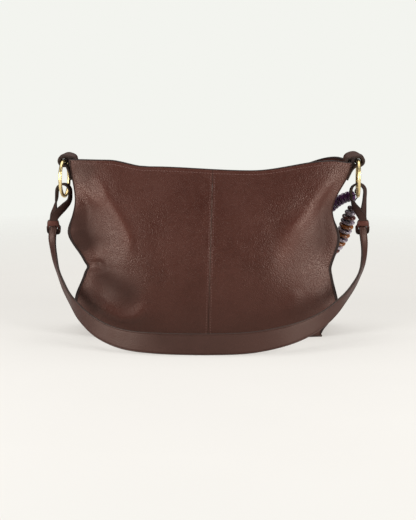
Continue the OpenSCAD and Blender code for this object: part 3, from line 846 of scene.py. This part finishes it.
def add_stitches(name, line, normals, slot="outer_leather", skin="thread", pitch=3.4, length=2.7,
                 width=0.85):
    """A row of sewn stitches along a line on a surface, each a slack little capsule."""
    total = runs(line)[-1]
    count = max(int(total / pitch), 1)
    centres = (np.arange(count) + 0.5) * total / count
    spots = along(line, line, centres)
    ways = unit(along(line, line, centres + 0.4) - along(line, line, centres - 0.4))
    outs = unit(along(line, normals, centres))
    points, faces = [], []
    pattern = tube_faces(len(STITCH_ROWS), STITCH_SIDES)
    for spot, way, out in zip(spots, ways, outs):
        across = np.cross(way, out)
        faces += [[len(points) + i for i in f] for f in pattern]
        for place, swell, rise in STITCH_ROWS:
            centre = spot + way * place * length + out * (rise * width - STITCH_SINK)
            points += [centre + (across * math.cos(a) + out * 0.8 * math.sin(a)) * swell * width / 2
                       for a in turns(STITCH_SIDES)]
    add_mesh(name, points, faces, skin, slot=slot, sharp=80)


def panel_line(face, u, h, d=0.0):
    """A line on a panel and the outward directions along it."""
    u, h = np.broadcast_arrays(np.asarray(u, float), np.asarray(h, float))
    return panel(face, u, h, d), panel_normal(face, u, h)


RIM_STITCH_DROP, SEAM_STITCH_OFF = 4.4, 2.7


def add_outside_stitching():
    """A row under each rim and one on each side of the centre seams."""
    across = np.linspace(-0.985, 0.985, 400)
    rise = np.linspace(0.012, 0.965, 300)
    for name, face in FACES.items():
        drop = RIM_STITCH_DROP / (rim_z(face, across) - BASE_T)
        add_stitches(f"{name}_rim_stitches", *panel_line(face, across, 1 - drop))
        for side_name, side in SIDES.items():
            u = SEAM_STITCH_OFF / (edge_x(side, rise) - SEAM_LEAN * rise)
            add_stitches(f"{name}_seam_stitches_{side_name}", *panel_line(face, u, rise),
                         length=2.4, width=0.65)


for face_name in FACES:
    for side_name in SIDES:
        add_panel(face_name, side_name)
        add_seam_edge(face_name, side_name)
for name in SIDES:
    add_gusset(name)
add_rims()
add_base()
add_outside_stitching()

# ---------------------------------------------------------------- facing and lining
FACING_H0 = 1 - FACING_H / RIM_H
LINING_H1 = FACING_H0 + 0.02
LINING_H0 = 0.018
REARWARD = np.array([0, 1.0, 0])


def add_facing(name, face):
    """The leather band inside the rim, with its two rows of stitches."""
    across = np.linspace(-1, 1, 121)
    add_mesh("facing_leather_" + name,
             *sheet(partial(panel, face), across, np.linspace(FACING_H0, 0.998, 22), FACING),
             "facing_leather", stands_for=["facing_" + name])
    line, out = panel_line(face, np.linspace(-0.98, 0.98, 300), FACING_H0 + 0.016, FACING[1])
    add_stitches(f"facing_hem_stitches_{name}", line, -out, "facing_leather")
    drop = RIM_STITCH_DROP / (rim_z(face, across * 0.98) - BASE_T)
    line, out = panel_line(face, across * 0.98, 1 - drop, FACING[1])
    add_stitches(f"facing_rim_stitches_{name}", line, -out, "facing_leather")


def slack(u, h):
    """How far the lining stands off in soft wrinkles."""
    ripple = np.sin(u * 13 + 3 * h) * np.sin(h * 17 + 4 * u) + 0.6 * np.sin(u * 29 - h * 11)
    return 0.45 * (1 + 0.6 * ripple) * smooth_step(h / 0.08) * (1 - smooth_step((h - 0.72) / 0.1))


def add_lining(name, points, faces):
    """A piece of the lining, in place of the CAD's lining of that name."""
    add_mesh("lining_cloth_" + name, points, faces, "lining_cloth", stands_for=["lining_" + name])


def add_panel_lining(name, face):
    across, up = np.linspace(-1, 1, 111), np.linspace(LINING_H0, LINING_H1, 70)
    outer, inner = (grid(partial(panel, face), across, up, d) for d in LINING)
    if face < 0:
        inner = inner + grid(slack, across, up)[..., None] * REARWARD
    add_lining(name, *closed_sheet(outer, inner))


def add_side_lining(name, side):
    across, up = np.linspace(-1, 1, 41), np.linspace(LINING_H0, 0.92, 60)
    add_lining(name, *sheet(partial(gusset, side), across, up, LINING, 1))


def add_inside_floor():
    """The lining over the base board, a little crowned."""
    edge = LINING[0]
    add_lining("base", *loft([(30, 4.4), (edge, 4.4), (edge, 5.0), (edge + 0.4, 5.2), (14, 5.35),
                              (30, 5.2), (44, 5.15)]))


SLIP_U, SLIP_H, SLIP_GAPE, SLIP_T = 0.4, (0.22, 0.62), 14, 0.8


def add_slip_pocket():
    """An open patch that gapes a little at its top, with a turned hem."""
    across, up = np.linspace(-SLIP_U, SLIP_U, 61), np.linspace(*SLIP_H, 41)
    rise = (up - SLIP_H[0]) / (SLIP_H[1] - SLIP_H[0])
    gape = SLIP_GAPE * np.sin(math.pi * (across + SLIP_U) / (2 * SLIP_U)) * rise[:, None] ** 0.7
    hem = 0.5 * smooth_step((rise - 0.9) / 0.02)[:, None]
    off = (LINING[1] + 0.2 + gape)[..., None] * REARWARD
    outer = grid(partial(panel, -1), across, up) + off
    inner = outer + (SLIP_T + hem)[..., None] * REARWARD
    add_mesh("slip_pocket_cloth", *closed_sheet(outer, inner), "lining_cloth",
             stands_for=["slip_pocket"])
    rows = {"hem": inner[36], "left": inner[:, 1], "right": inner[:, -2], "foot": inner[1]}
    for name, line in rows.items():
        add_stitches("slip_pocket_stitches_" + name, line, np.tile(REARWARD, (len(line), 1)),
                     "lining_cloth", "tan_thread", 2.6, 2.0, 0.6)


for name, face in FACES.items():
    add_facing(name, face)
    add_panel_lining(name, face)
for name, side in SIDES.items():
    add_side_lining(name, side)
add_inside_floor()
add_slip_pocket()

# ---------------------------------------------------------------- bands: tabs and strap
STRAP_T = 2.6


def band_outline(width, thick):
    """Across a band: flat faces creased near each side, and rounded sides. Rows are the
    places across and outwards, and how much of each is edge paint."""
    half, deep = width / 2, thick / 2
    face = [(half - 1.0, 0), (half - 1.55, 0), (half - 1.85, 0.34), (half - 2.2, 0.05),
            (half - 3.2, 0), (half * 0.3, 0)]
    row = [(-a, deep - d, 0) for a, d in face] + [(a, deep - d, 0) for a, d in face[::-1]]
    for a in math.pi / 2 - math.pi * np.arange(1, 8) / 8:
        row.append((half - deep * 0.7 + deep * 0.7 * math.cos(a), deep * math.sin(a), 1))
    return np.array(row + [(-a, -b, c) for a, b, c in row])


def add_band(name, rows, thick, body, stands_for, painted_shade, unevenness=0):
    """A leather band along rows of place (3), direction of its outer face (3) and width."""
    centre, width = rows[:, :3], rows[:, 6]
    t = headings(centre)
    out = unit(rows[:, 3:6] - (rows[:, 3:6] * t).sum(-1, keepdims=True) * t)
    across = np.cross(out, t)
    lift = unevenness * (np.sin(runs(centre) / 17) * 0.6 + np.sin(runs(centre) / 7.3 + 1) * 0.4)
    outlines = np.array([band_outline(w, thick) for w in width])
    wide, high, paint = (outlines[..., k, None] for k in range(3))
    rings = centre[:, None] + across[:, None] * wide
    rings = rings + out[:, None] * (high + (lift / (width / 2))[:, None, None] * wide)
    sides = outlines.shape[1]
    # Painted shade per row, the same all round the band.
    marks = {"paint": paint, "painted_shade": np.repeat(np.broadcast_to(painted_shade, len(rows)), sides)}
    add_mesh(name, rings.reshape(-1, 3), tube_faces(len(rows), sides), "strap_leather", body,
             marks=marks, stands_for=stands_for, sharp=65)


RING_PLACES = {"left": (-180.5, -8), "right": (189, -4)}
RING_R, WIRE_R, RING_TOP = 22.2, 2.2, 215.2
RING_LOW = RING_TOP - 2 * RING_R
ROLL_Z, ROLL_R, TAB_T = 215.2, 6.1, 3.8
INNER_TAIL_W, TAIL_DROP = 11, 24
TWISTS = {"left": 20, "right": 38}


def rim_edge(side):
    """Distance from the middle to a top corner of the bag."""
    return float(abs(edge_x(side, 1)))


def tab_path(side, gap):
    """Middle of a tab's leather: up inside the bag, over to the ring, round it, and down the
    outside. Rows are the place towards the bag, the height, the width and the share of twist."""
    inside, outside = gap + 7.5, gap - 2.2
    rows = [(inside, 8 - TAIL_DROP, INNER_TAIL_W, 0), (inside, -8, INNER_TAIL_W, 0),
            (inside - 0.1, -1, 11.5, 0.2), (inside - 1.8, 4.4, 12.5, 0.7), (gap + 1.2, 6.2, 13.5, 1),
            (gap * 0.55, 7, 13.5, 0.9)]
    for degrees in range(10, 181, 17):
        a = math.radians(degrees)
        rows.append((-ROLL_R * math.sin(a), ROLL_R * math.cos(a), 13, 0.3 * (1 - degrees / 180) ** 2))
    lean = [rim_edge(side) - abs(edge_x(side, 1 - drop / RIM_H)) for drop in (9, 15, TAIL_DROP)]
    rows += [(3.0, -6.2, 13.5, 0), (outside - 1.0 + lean[0], -9.2, 14, 0),
             (outside + lean[1], -14, 14.5, 0), (outside + lean[2], -TAIL_DROP, 14.5, 0)]
    return spline(rows, 5)


ROLL_CORE_HALF, ROLL_CORE_R, ROLL_CORE_HOLE_R = 2.4, ROLL_R - 1.2, WIRE_R + 0.45


def add_roll_core(name, ring_x):
    """The fold of leather that closes a tab's roll round the ring's wire."""
    a = turns(32)
    circle = np.stack([np.cos(a), np.sin(a)], -1)
    points, faces = holed_slab(circle * ROLL_CORE_R, circle * ROLL_CORE_HOLE_R, -ROLL_CORE_HALF,
                               ROLL_CORE_HALF, 0.4)
    points = np.stack([ring_x + points[:, 0], points[:, 2], RING_TOP - 0.06 + points[:, 1]], -1)
    add_mesh("ring_tab_roll_" + name, points, faces, "edge_paint", slot="strap_leather")


TAB_CORE_HALF, TAB_STITCH_Y = 6.1, 4.6


def add_tab(name):
    """A tab's leather, the padding in its bridge, the core of its roll and its stitches."""
    side = SIDES[name]
    ring_x = RING_PLACES[name][0]
    gap = abs(ring_x) - rim_edge(side)
    path = tab_path(side, gap)
    flat = headings(path[:, :2])
    twist = path[:, 3] * math.radians(TWISTS[name])
    rows = [ring_x - side * path[:, 0], 0 * twist, ROLL_Z + path[:, 1],
            -side * flat[:, 1] * np.cos(twist), -np.sin(twist), -flat[:, 0] * np.cos(twist), path[:, 2]]
    # Painted shade over all of the tab's leather.
    add_band("ring_tab_" + name, np.stack(rows, -1), TAB_T, "bag", ["tab_" + name], 0.45)
    outline = [(4.6, 4.0), (gap * 0.7, 5.2), (gap + 0.5, 4.6), (gap + 1.5, -8.5), (gap - 2, -8),
               (4.8, -4.6), (5.6, 0)]
    points, faces = slab(outline, -TAB_CORE_HALF, TAB_CORE_HALF, 0.4)
    points = np.stack([ring_x - side * points[:, 0], points[:, 2], ROLL_Z + points[:, 1]], -1)
    add_mesh("ring_tab_core_" + name, points, faces, "edge_paint", slot="strap_leather")
    add_roll_core(name, ring_x)
    tail = path[-4:]
    for k in (-1, 1):
        line = [(ring_x - side * (place - TAB_T / 2), k * TAB_STITCH_Y, ROLL_Z + z)
                for place, z, *_ in tail]
        add_stitches(f"ring_tab_stitches_{name}_{k + 1}", np.array(line), np.tile((side, 0, 0), (4, 1)),
                     "strap_leather", pitch=3, length=2.2)


def add_ring(name):
    """A brass ring, hanging from its tab and turned by its yaw."""
    x, yaw = RING_PLACES[name]
    c, s = math.cos(math.radians(yaw)), math.sin(math.radians(yaw))
    points = []
    for a in turns(96):
        for b in turns(20):
            r, off = RING_R + WIRE_R * math.cos(b), WIRE_R * math.sin(b)
            y, z = r * math.cos(a), r * math.sin(a)
            points.append((x + off * c - y * s, off * s + y * c, RING_TOP - RING_R + z))
    add_mesh("brass_ring_" + name, points, tube_faces(96, 20, closed=True), "brass", "ring_" + name,
             stands_for=["ring_" + name])


ARCH_R, ARCH_Z, SLIT_Z = 9, RING_LOW + 6, RING_LOW - 40
SLIT_TILT, SLIT_HALF, STRAP_END_W = math.radians(33), 12, 10.5
ARCH_PLACES = {"left": -181.8, "right": 189}
ARCH_TURNS = {"left": -16, "right": 20}
KNOTS = {"left": 13.5, "right": 6.5}
STRAP_RUN = [
    (-197, -2, 118, -0.3, -0.95, 0, 11), (-194, -12, 100, -0.7, -0.7, 0, 11.5),
    (-187, -30, 80, -0.93, -0.35, -0.15, 12.5), (-178, -50, 64, -0.93, -0.35, -0.15, 14),
    (-166, -72, 49, -0.85, -0.5, -0.1, 16), (-149, -97, 34, -0.62, -0.78, 0, 18.5),
    (-126, -121, 22, -0.42, -0.9, 0.05, 21.5), (-98, -138, 15, -0.25, -0.95, 0.1, 23.5),
    (-60, -150, 13, -0.12, -0.98, 0.12, 24.5), (0, -154, 12.5, 0, -0.98, 0.15, 25),
    (50, -151, 14, 0.12, -0.98, 0.12, 25), (90, -142, 20, 0.25, -0.95, 0.1, 23.5),
    (118, -127, 27, 0.4, -0.9, 0.05, 21.5), (140, -108, 36, 0.6, -0.8, 0, 18.5),
    (158, -86, 47, 0.8, -0.55, -0.1, 16), (173, -64, 59, 0.92, -0.38, -0.15, 14),
    (186, -43, 74, 0.95, -0.3, -0.15, 12.5), (194, -24, 91, 0.85, -0.5, 0, 11.5),
    (197, -8, 110, 0.5, -0.85, 0, 11),
]


def strap_end(name):
    """From the slit tab up over the ring and down again through the slit, as rows of the
    strap. The leg next to the bag has edge -1."""
    knot = KNOTS[name]
    top_y, top_z = -SLIT_HALF * math.sin(SLIT_TILT), SLIT_Z + SLIT_HALF * math.cos(SLIT_TILT)

    def leg(edge, k, z, turn, y):
        """A row whose share k of the way in to the knot is done."""
        a = math.radians(turn)
        x = edge * ARCH_R * (1 - k) + knot * k
        return (x, y, z, edge * math.cos(a), -math.sin(a), 0, STRAP_END_W - (1 if k == 1 else 0))

    rows = [leg(-1, 1, top_z - 1.7, 90, top_y + 0.9), leg(-1, 0.9, top_z + 4, 84, top_y + 0.8),
            leg(-1, 0.66, top_z + 10, 64, top_y + 2.4), leg(-1, 0.34, top_z + 17, 34, top_y + 4.6),
            leg(-1, 0.06, top_z + 25, 8, 0)]
    for degrees in range(0, 181, 30):
        a = math.radians(degrees)
        c, s = math.cos(a), math.sin(a)
        rows.append((-ARCH_R * c, 0, ARCH_Z + ARCH_R * s, -c, 0, s, STRAP_END_W))
    rows += [leg(1, 0.2, ARCH_Z - 10, 8, 0), leg(1, 0.6, ARCH_Z - 20, 34, 0.6),
             leg(1, 0.9, ARCH_Z - 30, 66, 0.8), leg(1, 1, SLIT_Z + 7, 90, 0.2),
             leg(1, 1, SLIT_Z, 90, 0)]
    side, placed = SIDES[name], []
    for x, y, z, nx, ny, nz, width in rows:
        turn = math.radians(ARCH_TURNS[name]) * smooth_step((z - SLIT_Z - 12) / 24)
        c, s = math.cos(turn), math.sin(turn)
        placed.append((ARCH_PLACES[name] + side * (x * c + y * s), y * c - x * s, z,
                       side * (nx * c + ny * s), ny * c - nx * s, nz, width))
    return placed


def squarish(angle, half_w, half_h, power):
    """Distance from the middle of a rounded shape to its outline, squarer with more power."""
    c, s = abs(math.cos(angle)), abs(math.sin(angle))
    return ((c / half_w) ** power + (s / half_h) ** power) ** (-1 / power)


def slit_tab_edge(angle):
    """Distance from the middle of a slit tab to its edge: narrow above, with round ears below."""
    s = math.sin(angle)
    if s >= 0:
        return squarish(angle, 7.6 + 1.4 * (1 - s) ** 3, SLIT_HALF, 5)
    return squarish(angle, 9, SLIT_HALF, 2.6)


def slit_tab_bend(x, y):
    """The tab is cupped round the strap below the slit, and bulges above it."""
    below = smooth_step((2 - y) / 8)
    wide = (x / 9) ** 2
    return 3.4 * wide * below - 1.2 * below + (2.2 * bell(y - 6, 3.5) - 1.6 * wide) * (1 - below)


SLIT_STEPS = 72


def add_slit_tab(name):
    """The tab at a strap's end, round its slit. Steps are the share of the way from the slit
    to the edge and the share of the thickness there."""
    x = ARCH_PLACES[name] + SIDES[name] * KNOTS[name]
    up = np.array([0, -math.sin(SLIT_TILT), math.cos(SLIT_TILT)])
    out = np.array([0, -math.cos(SLIT_TILT), -math.sin(SLIT_TILT)])
    deep = STRAP_T / 2
    steps = [(0.0, 0.3), (0.02, 0.8), (0.08, 1), (0.2, 1), (0.4, 1), (0.6, 1), (0.78, 1), (0.83, 0.8),
             (0.88, 1), (0.94, 1), (0.985, 0.8), (1, 0.3)]
    loop = [(f, n, int(f < 0.05 or f > 0.97)) for f, n in steps]
    loop += [(f, -n, paint) for f, n, paint in loop[::-1]]
    points = []
    for a in turns(SLIT_STEPS):
        hole, edge = squarish(a, 4.9, 4.2, 5), slit_tab_edge(a)
        for f, n, _ in loop:
            r = hole + (edge - hole) * f
            px, py = r * math.cos(a), r * math.sin(a)
            points.append((px, 0, 0) + up * py + out * (deep * n + slit_tab_bend(px, py)))
    points = np.array(points)
    # Painted highlight, redder, on the top that bulges over the slit, and painted shade below it.
    painted_highlight = smooth_step((points @ up + 1) / 5)
    marks = {"paint": [paint for *_, paint in loop] * SLIT_STEPS, "painted_highlight": painted_highlight, "painted_shade": 1 - painted_highlight}
    add_mesh("strap_slit_tab_" + name, points + (x, 0, SLIT_Z),
             tube_faces(SLIT_STEPS, len(loop), closed=True), "strap_leather", "strap", marks=marks,
             stands_for=["strap"])


def add_strap():
    """The strap's band from one slit tab to the other, with painted shade near its ends and in its
    middle.
    """
    rows = spline(strap_end("left") + STRAP_RUN + strap_end("right")[::-1], 9)
    # Painted shade on the legs above the slit tabs and, more faintly, in the middle of the run.
    dark = 0.75 * smooth_step((rows[:, 2] - SLIT_Z) / 8) + 0.3 * bell(rows[:, 0], 110)
    add_band("strap_band", rows, STRAP_T, "strap", ["strap"], dark, 0.5)


NOOSE, NOOSE_R = (190, 14, RING_TOP - 39.4), 3.3


def add_noose():
    """The turn of the charm's cord round the ring's wire."""
    x, y, z = NOOSE
    loop = [(x + NOOSE_R * math.cos(a), y + 2.4 * math.cos(a), z + NOOSE_R * math.sin(a))
            for a in turns(24)]
    add_cord("charm_noose", loop, closed=True)


for name in SIDES:
    add_tab(name)
    add_ring(name)
    add_slit_tab(name)
add_strap()
add_noose()


# ---------------------------------------------------------------- fittings inside
def on_inside(face, h, d):
    """Middle and axes of a place on a panel's inside: along the bag, up it and into it."""
    low, high = mid_depth(h + 0.08), mid_depth(h - 0.08)
    lean = math.atan2(high - low, 0.16 * (rim_z(1, 0) - BASE_T)) + math.pi / 2
    up = (0, face * math.cos(lean), math.sin(lean))
    away = (0, -face * math.sin(lean), math.cos(lean))
    return plain_panel(face, 0.0, h, d), np.array([(1, 0, 0), up, away])


def add_fitting(name, solid, place, skin, node, body="bag", sharp=40):
    """A solid, drawn flat on a place on the inside, in place of a CAD node."""
    (points, faces), (middle, axes) = solid, place
    add_mesh(name, np.asarray(points, float) @ axes + middle, faces, skin, body,
             stands_for=[node], sharp=sharp)


# Outlines of the two halves of the magnetic snap, as rows of radius and height.
STUD = [(0.01, 0), (8.6, 0), (9, 0.4), (8.8, 0.9), (8.1, 1.2), (6.6, 1.05), (6.2, 1.15),
        (4.3, 1.2), (4.0, 1.5), (4.0, 2.3), (3.6, 2.8), (1.2, 2.8), (0.9, 2.5), (0.01, 2.5)]
SOCKET = [(0.01, 0), (8.6, 0), (9, 0.4), (9, 2.2), (8.5, 2.8), (6.9, 2.6), (6.4, 2.75),
          (4.9, 2.8), (4.4, 2.5), (4.3, 1.3), (3.9, 1.2), (0.01, 1.2)]
SNAP_H = 0.9


def add_snaps():
    """The two halves of the magnetic snap."""
    for name, face, outline, node in (("snap_stud", -1, STUD, "snap_male"),
                                      ("snap_socket", 1, SOCKET, "snap_female")):
        place = on_inside(face, SNAP_H, FACING[1] + 0.2)
        add_fitting(name, lathe(outline, 72), place, "brass", node, sharp=30)


ZIP_LEN, ZIP_W, ZIP_H = 140, 11, 0.56
FRAME_W, FRAME_T = 8, 1.2
UNDER_Z, PLATE_T = 0.9, 1.0
TAPE_Z = UNDER_Z + PLATE_T + 0.3
TEETH_Z, TEETH_T, TEETH_PITCH, TEETH_COUNT = TAPE_Z + 0.6, 1.4, 4, 33
OVER_Z = TEETH_Z + TEETH_T + 0.3
SLIDER_X, STOP_X = -ZIP_LEN / 2 + 7.5, 68.4


def add_zip():
    """The inside pocket's zip: leather frame, two tapes, teeth and end stops."""
    place = middle, axes = on_inside(1, ZIP_H, LINING[1])
    outline = rounded(ZIP_LEN + 2 * FRAME_W, ZIP_W + 2 * FRAME_W, 4, 8)
    opening = rounded(ZIP_LEN, ZIP_W, 2.5, 8)
    solid = holed_slab(outline, opening, TEETH_Z, TEETH_Z + FRAME_T, 0.3)
    add_fitting("zip_frame_leather", solid, place, "facing_leather", "zip_frame")
    line = [(x, y, TEETH_Z + FRAME_T) for x, y in rounded(ZIP_LEN + FRAME_W, ZIP_W + FRAME_W, 3.5, 8)]
    line = np.array(line + line[:1]) @ axes + middle
    add_stitches("zip_frame_stitches", line, np.tile(axes[2], (len(line), 1)), "facing_leather",
                 pitch=2.8, length=2.1)
    tapes, teeth = [], []
    for side in (-1, 1):
        xs, ys = np.linspace(-75, 75, 120), side * np.linspace(0.9, 7.9, 6)
        ripple = 0.12 * np.sin(xs / 2.1) * smooth_step((np.abs(ys) - 2) / 3)[:, None]
        base = np.stack(np.broadcast_arrays(xs, ys[:, None], TAPE_Z + 0.12 + ripple), -1)
        tapes.append(closed_sheet(base, base + (0, 0, 0.4)))
        for k in range(TEETH_COUNT):
            x = -ZIP_LEN / 2 + 5.3 + TEETH_PITCH * k + (0 if side > 0 else 0.05)
            tooth = rounded(2.6, 1.8, 0.5, 2) + (x, side * 1.8)
            teeth.append(slab(tooth, TEETH_Z, TEETH_Z + TEETH_T, 0.25))
    stops = [slab(rounded(1.6, 6, 0.5, 2) + (x, 0), TEETH_Z, TEETH_Z + TEETH_T, 0.3)
             for x in (-STOP_X, STOP_X)]
    add_fitting("zip_tape_cloth", several(tapes), place, "zip_tape", "zip_tapes")
    add_fitting("zip_teeth_brass", several(teeth), place, "brass", "zip_teeth")
    add_fitting("zip_stops_brass", several(stops), place, "brass", "zip_stops")
    add_zip_slider(place)


BAIL_STEPS, BAIL_SIDES = 13, 8


def add_zip_slider(place):
    """The slider's two plates, post and bail, and the pull that turns on the bail."""
    here = np.array([SLIDER_X, 0])
    wings = rounded(9, 8, 2, 6)
    wings[:, 1] *= np.interp(wings[:, 0], (-4.5, 4.5), (0.72, 1))
    parts = [slab(wings + here, z, z + PLATE_T, 0.3) for z in (UNDER_Z, OVER_Z)]
    parts.append(slab(rounded(2, 1.2, 0.4, 3) + here, UNDER_Z + 0.5, OVER_Z + 0.5, 0.1))
    bail = []
    for a in np.linspace(0, math.pi, BAIL_STEPS):
        centre = np.array([SLIDER_X - 2 * math.cos(a), 0, OVER_Z + 0.8 + 2.1 * math.sin(a) ** 0.6])
        way = np.array([math.cos(a), 0, math.sin(a)])
        bail += [centre + way * 0.5 * math.cos(b) + (0, 0.6 * math.sin(b), 0)
                 for b in turns(BAIL_SIDES)]
    parts.append((np.array(bail), tube_faces(BAIL_STEPS, BAIL_SIDES)))
    add_fitting("zip_slider_brass", several(parts), place, "brass", "zip_slider", "zip_slider")
    shape = rounded(26.2, 7, 3.3, 9) + (12, 0)
    shape[:, 1] *= np.interp(shape[:, 0], (0, 7, 24), (1, 0.72, 1))
    hole = rounded(3.2, 3.0, 1, 9) + (1.1, 0)
    grip = here + (0.5, 0)
    pull = holed_slab(shape + grip, hole + grip, OVER_Z + 1.38, OVER_Z + 2.12, 0.25)
    add_fitting("zip_pull_brass", pull, place, "brass", "zip_pull", "zip_pull")


POCKET_U, POCKET_H, POCKET_D = 0.42, (0.24, 0.6), (2.1, 3.7)


def add_zip_pocket():
    """The pocket's own bag, between the lining and the outside leather."""
    across, up = np.linspace(-POCKET_U, POCKET_U, 41), np.linspace(*POCKET_H, 25)
    wave = up[:, None]
    pucker = 0.25 * np.sin(across * 60 + wave * 9) * np.sin(wave * 40)
    points, faces = sheet(partial(panel, 1), across, up, POCKET_D)
    points = points + np.tile(pucker.reshape(-1, 1), (2, 1)) * REARWARD
    add_mesh("zip_pocket_cloth", points, faces, "lining_cloth", stands_for=["zip_pocket_bag"])


add_snaps()
add_zip()
add_zip_pocket()
for node, skin in (("base_stiffener", "board"), ("snap_washers", "washer_steel")):
    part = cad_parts[node]
    part.data.materials.clear()
    part.data.materials.append(skins[skin])

# ---------------------------------------------------------------- floor and light
BACKGROUND = (0.896, 0.905, 0.863, 1)
SKY, SKY_STRENGTH = (1, 0.99, 0.97, 1), 0.1
FLOOR_TONES = (0.35, 0.343, 0.328, 1), (0.37, 0.363, 0.348, 1)
FLOOR_GLOW, FLOOR_STRENGTH = (1, 0.962, 0.9, 1), 0.455
FLOOR_FADE = 0.55, 1.5
FLOOR_RADII, FLOOR_SIDES = (300, 800, 1600), 96
# Azimuth, 0 in front and growing to the right, elevation, distance, size and power.
SOFTBOXES = {
    "left_softbox": (-56, 15, 1.7, (0.8, 0.9), 26),
    "right_softbox": (56, 15, 1.7, (0.8, 0.9), 26),
    "top_softbox": (180, 74, 3.2, (3.4, 3.4), 84),
}
LIT_POINT = Vector((0, 0, 0.1))


def add_floor():
    """A round floor that fades into the pale background round it."""
    g = Graph("pale_floor")
    spread = g.add("ShaderNodeVectorMath", {0: g.place}, operation="LENGTH").outputs["Value"]
    fade = g.ranged(spread, 0, 1, *FLOOR_FADE)
    g.feed(g.shader, {"Base Color": g.mix(g.noise(6, 2), *FLOOR_TONES), "Roughness": 0.8,
                      "Emission Color": FLOOR_GLOW, "Emission Strength": FLOOR_STRENGTH})
    clear = g.add("ShaderNodeBsdfTransparent").outputs[0]
    both = g.add("ShaderNodeMixShader", {0: fade, 1: g.shader.outputs[0], 2: clear}).outputs[0]
    g.feed(g.tree.nodes["Material Output"], {"Surface": both})
    points = [(0, 0, 0)] + [(r * math.cos(a), r * math.sin(a), 0) for r in FLOOR_RADII
                            for a in turns(FLOOR_SIDES)]
    faces = []
    for k in range(FLOOR_SIDES):
        a, b = 1 + k, 1 + (k + 1) % FLOOR_SIDES
        faces.append((0, a, b))
        for start in range(0, FLOOR_SIDES * (len(FLOOR_RADII) - 1), FLOOR_SIDES):
            outer = start + FLOOR_SIDES
            faces.append((a + start, a + outer, b + outer, b + start))
    data = mesh_data("floor", points, faces)
    data.materials.append(g.material)
    new_object("floor", data)


def add_world():
    """Pale behind everything, and dim as a light."""
    world = bpy.data.worlds.new("studio")
    world.use_nodes = True
    nodes = Nodes(world.node_tree)
    nodes.tree.nodes.clear()
    ray = nodes.add("ShaderNodeLightPath").outputs["Is Camera Ray"]
    dim = nodes.add("ShaderNodeBackground", {"Color": SKY, "Strength": SKY_STRENGTH})
    pale = nodes.add("ShaderNodeBackground", {"Color": BACKGROUND})
    both = nodes.add("ShaderNodeMixShader", {0: ray, 1: dim.outputs[0], 2: pale.outputs[0]})
    nodes.add("ShaderNodeOutputWorld", {"Surface": both.outputs[0]})
    bpy.context.scene.world = world


def add_softbox(name, azimuth, elevation, distance, size, power):
    """A soft rectangular light that faces the lit point."""
    a, e = math.radians(azimuth), math.radians(elevation)
    way = Vector((math.sin(a) * math.cos(e), -math.cos(a) * math.cos(e), math.sin(e)))
    data = bpy.data.lights.new(name, "AREA")
    data.shape = "RECTANGLE"
    data.size, data.size_y = size
    data.energy = power
    lamp = new_object(name, data)
    lamp.location = LIT_POINT + way * distance
    lamp.rotation_euler = way.to_track_quat("Z", "Y").to_euler()


add_floor()
add_world()
for name, setting in SOFTBOXES.items():
    add_softbox(name, *setting)
bpy.context.scene.view_settings.view_transform = "Standard"
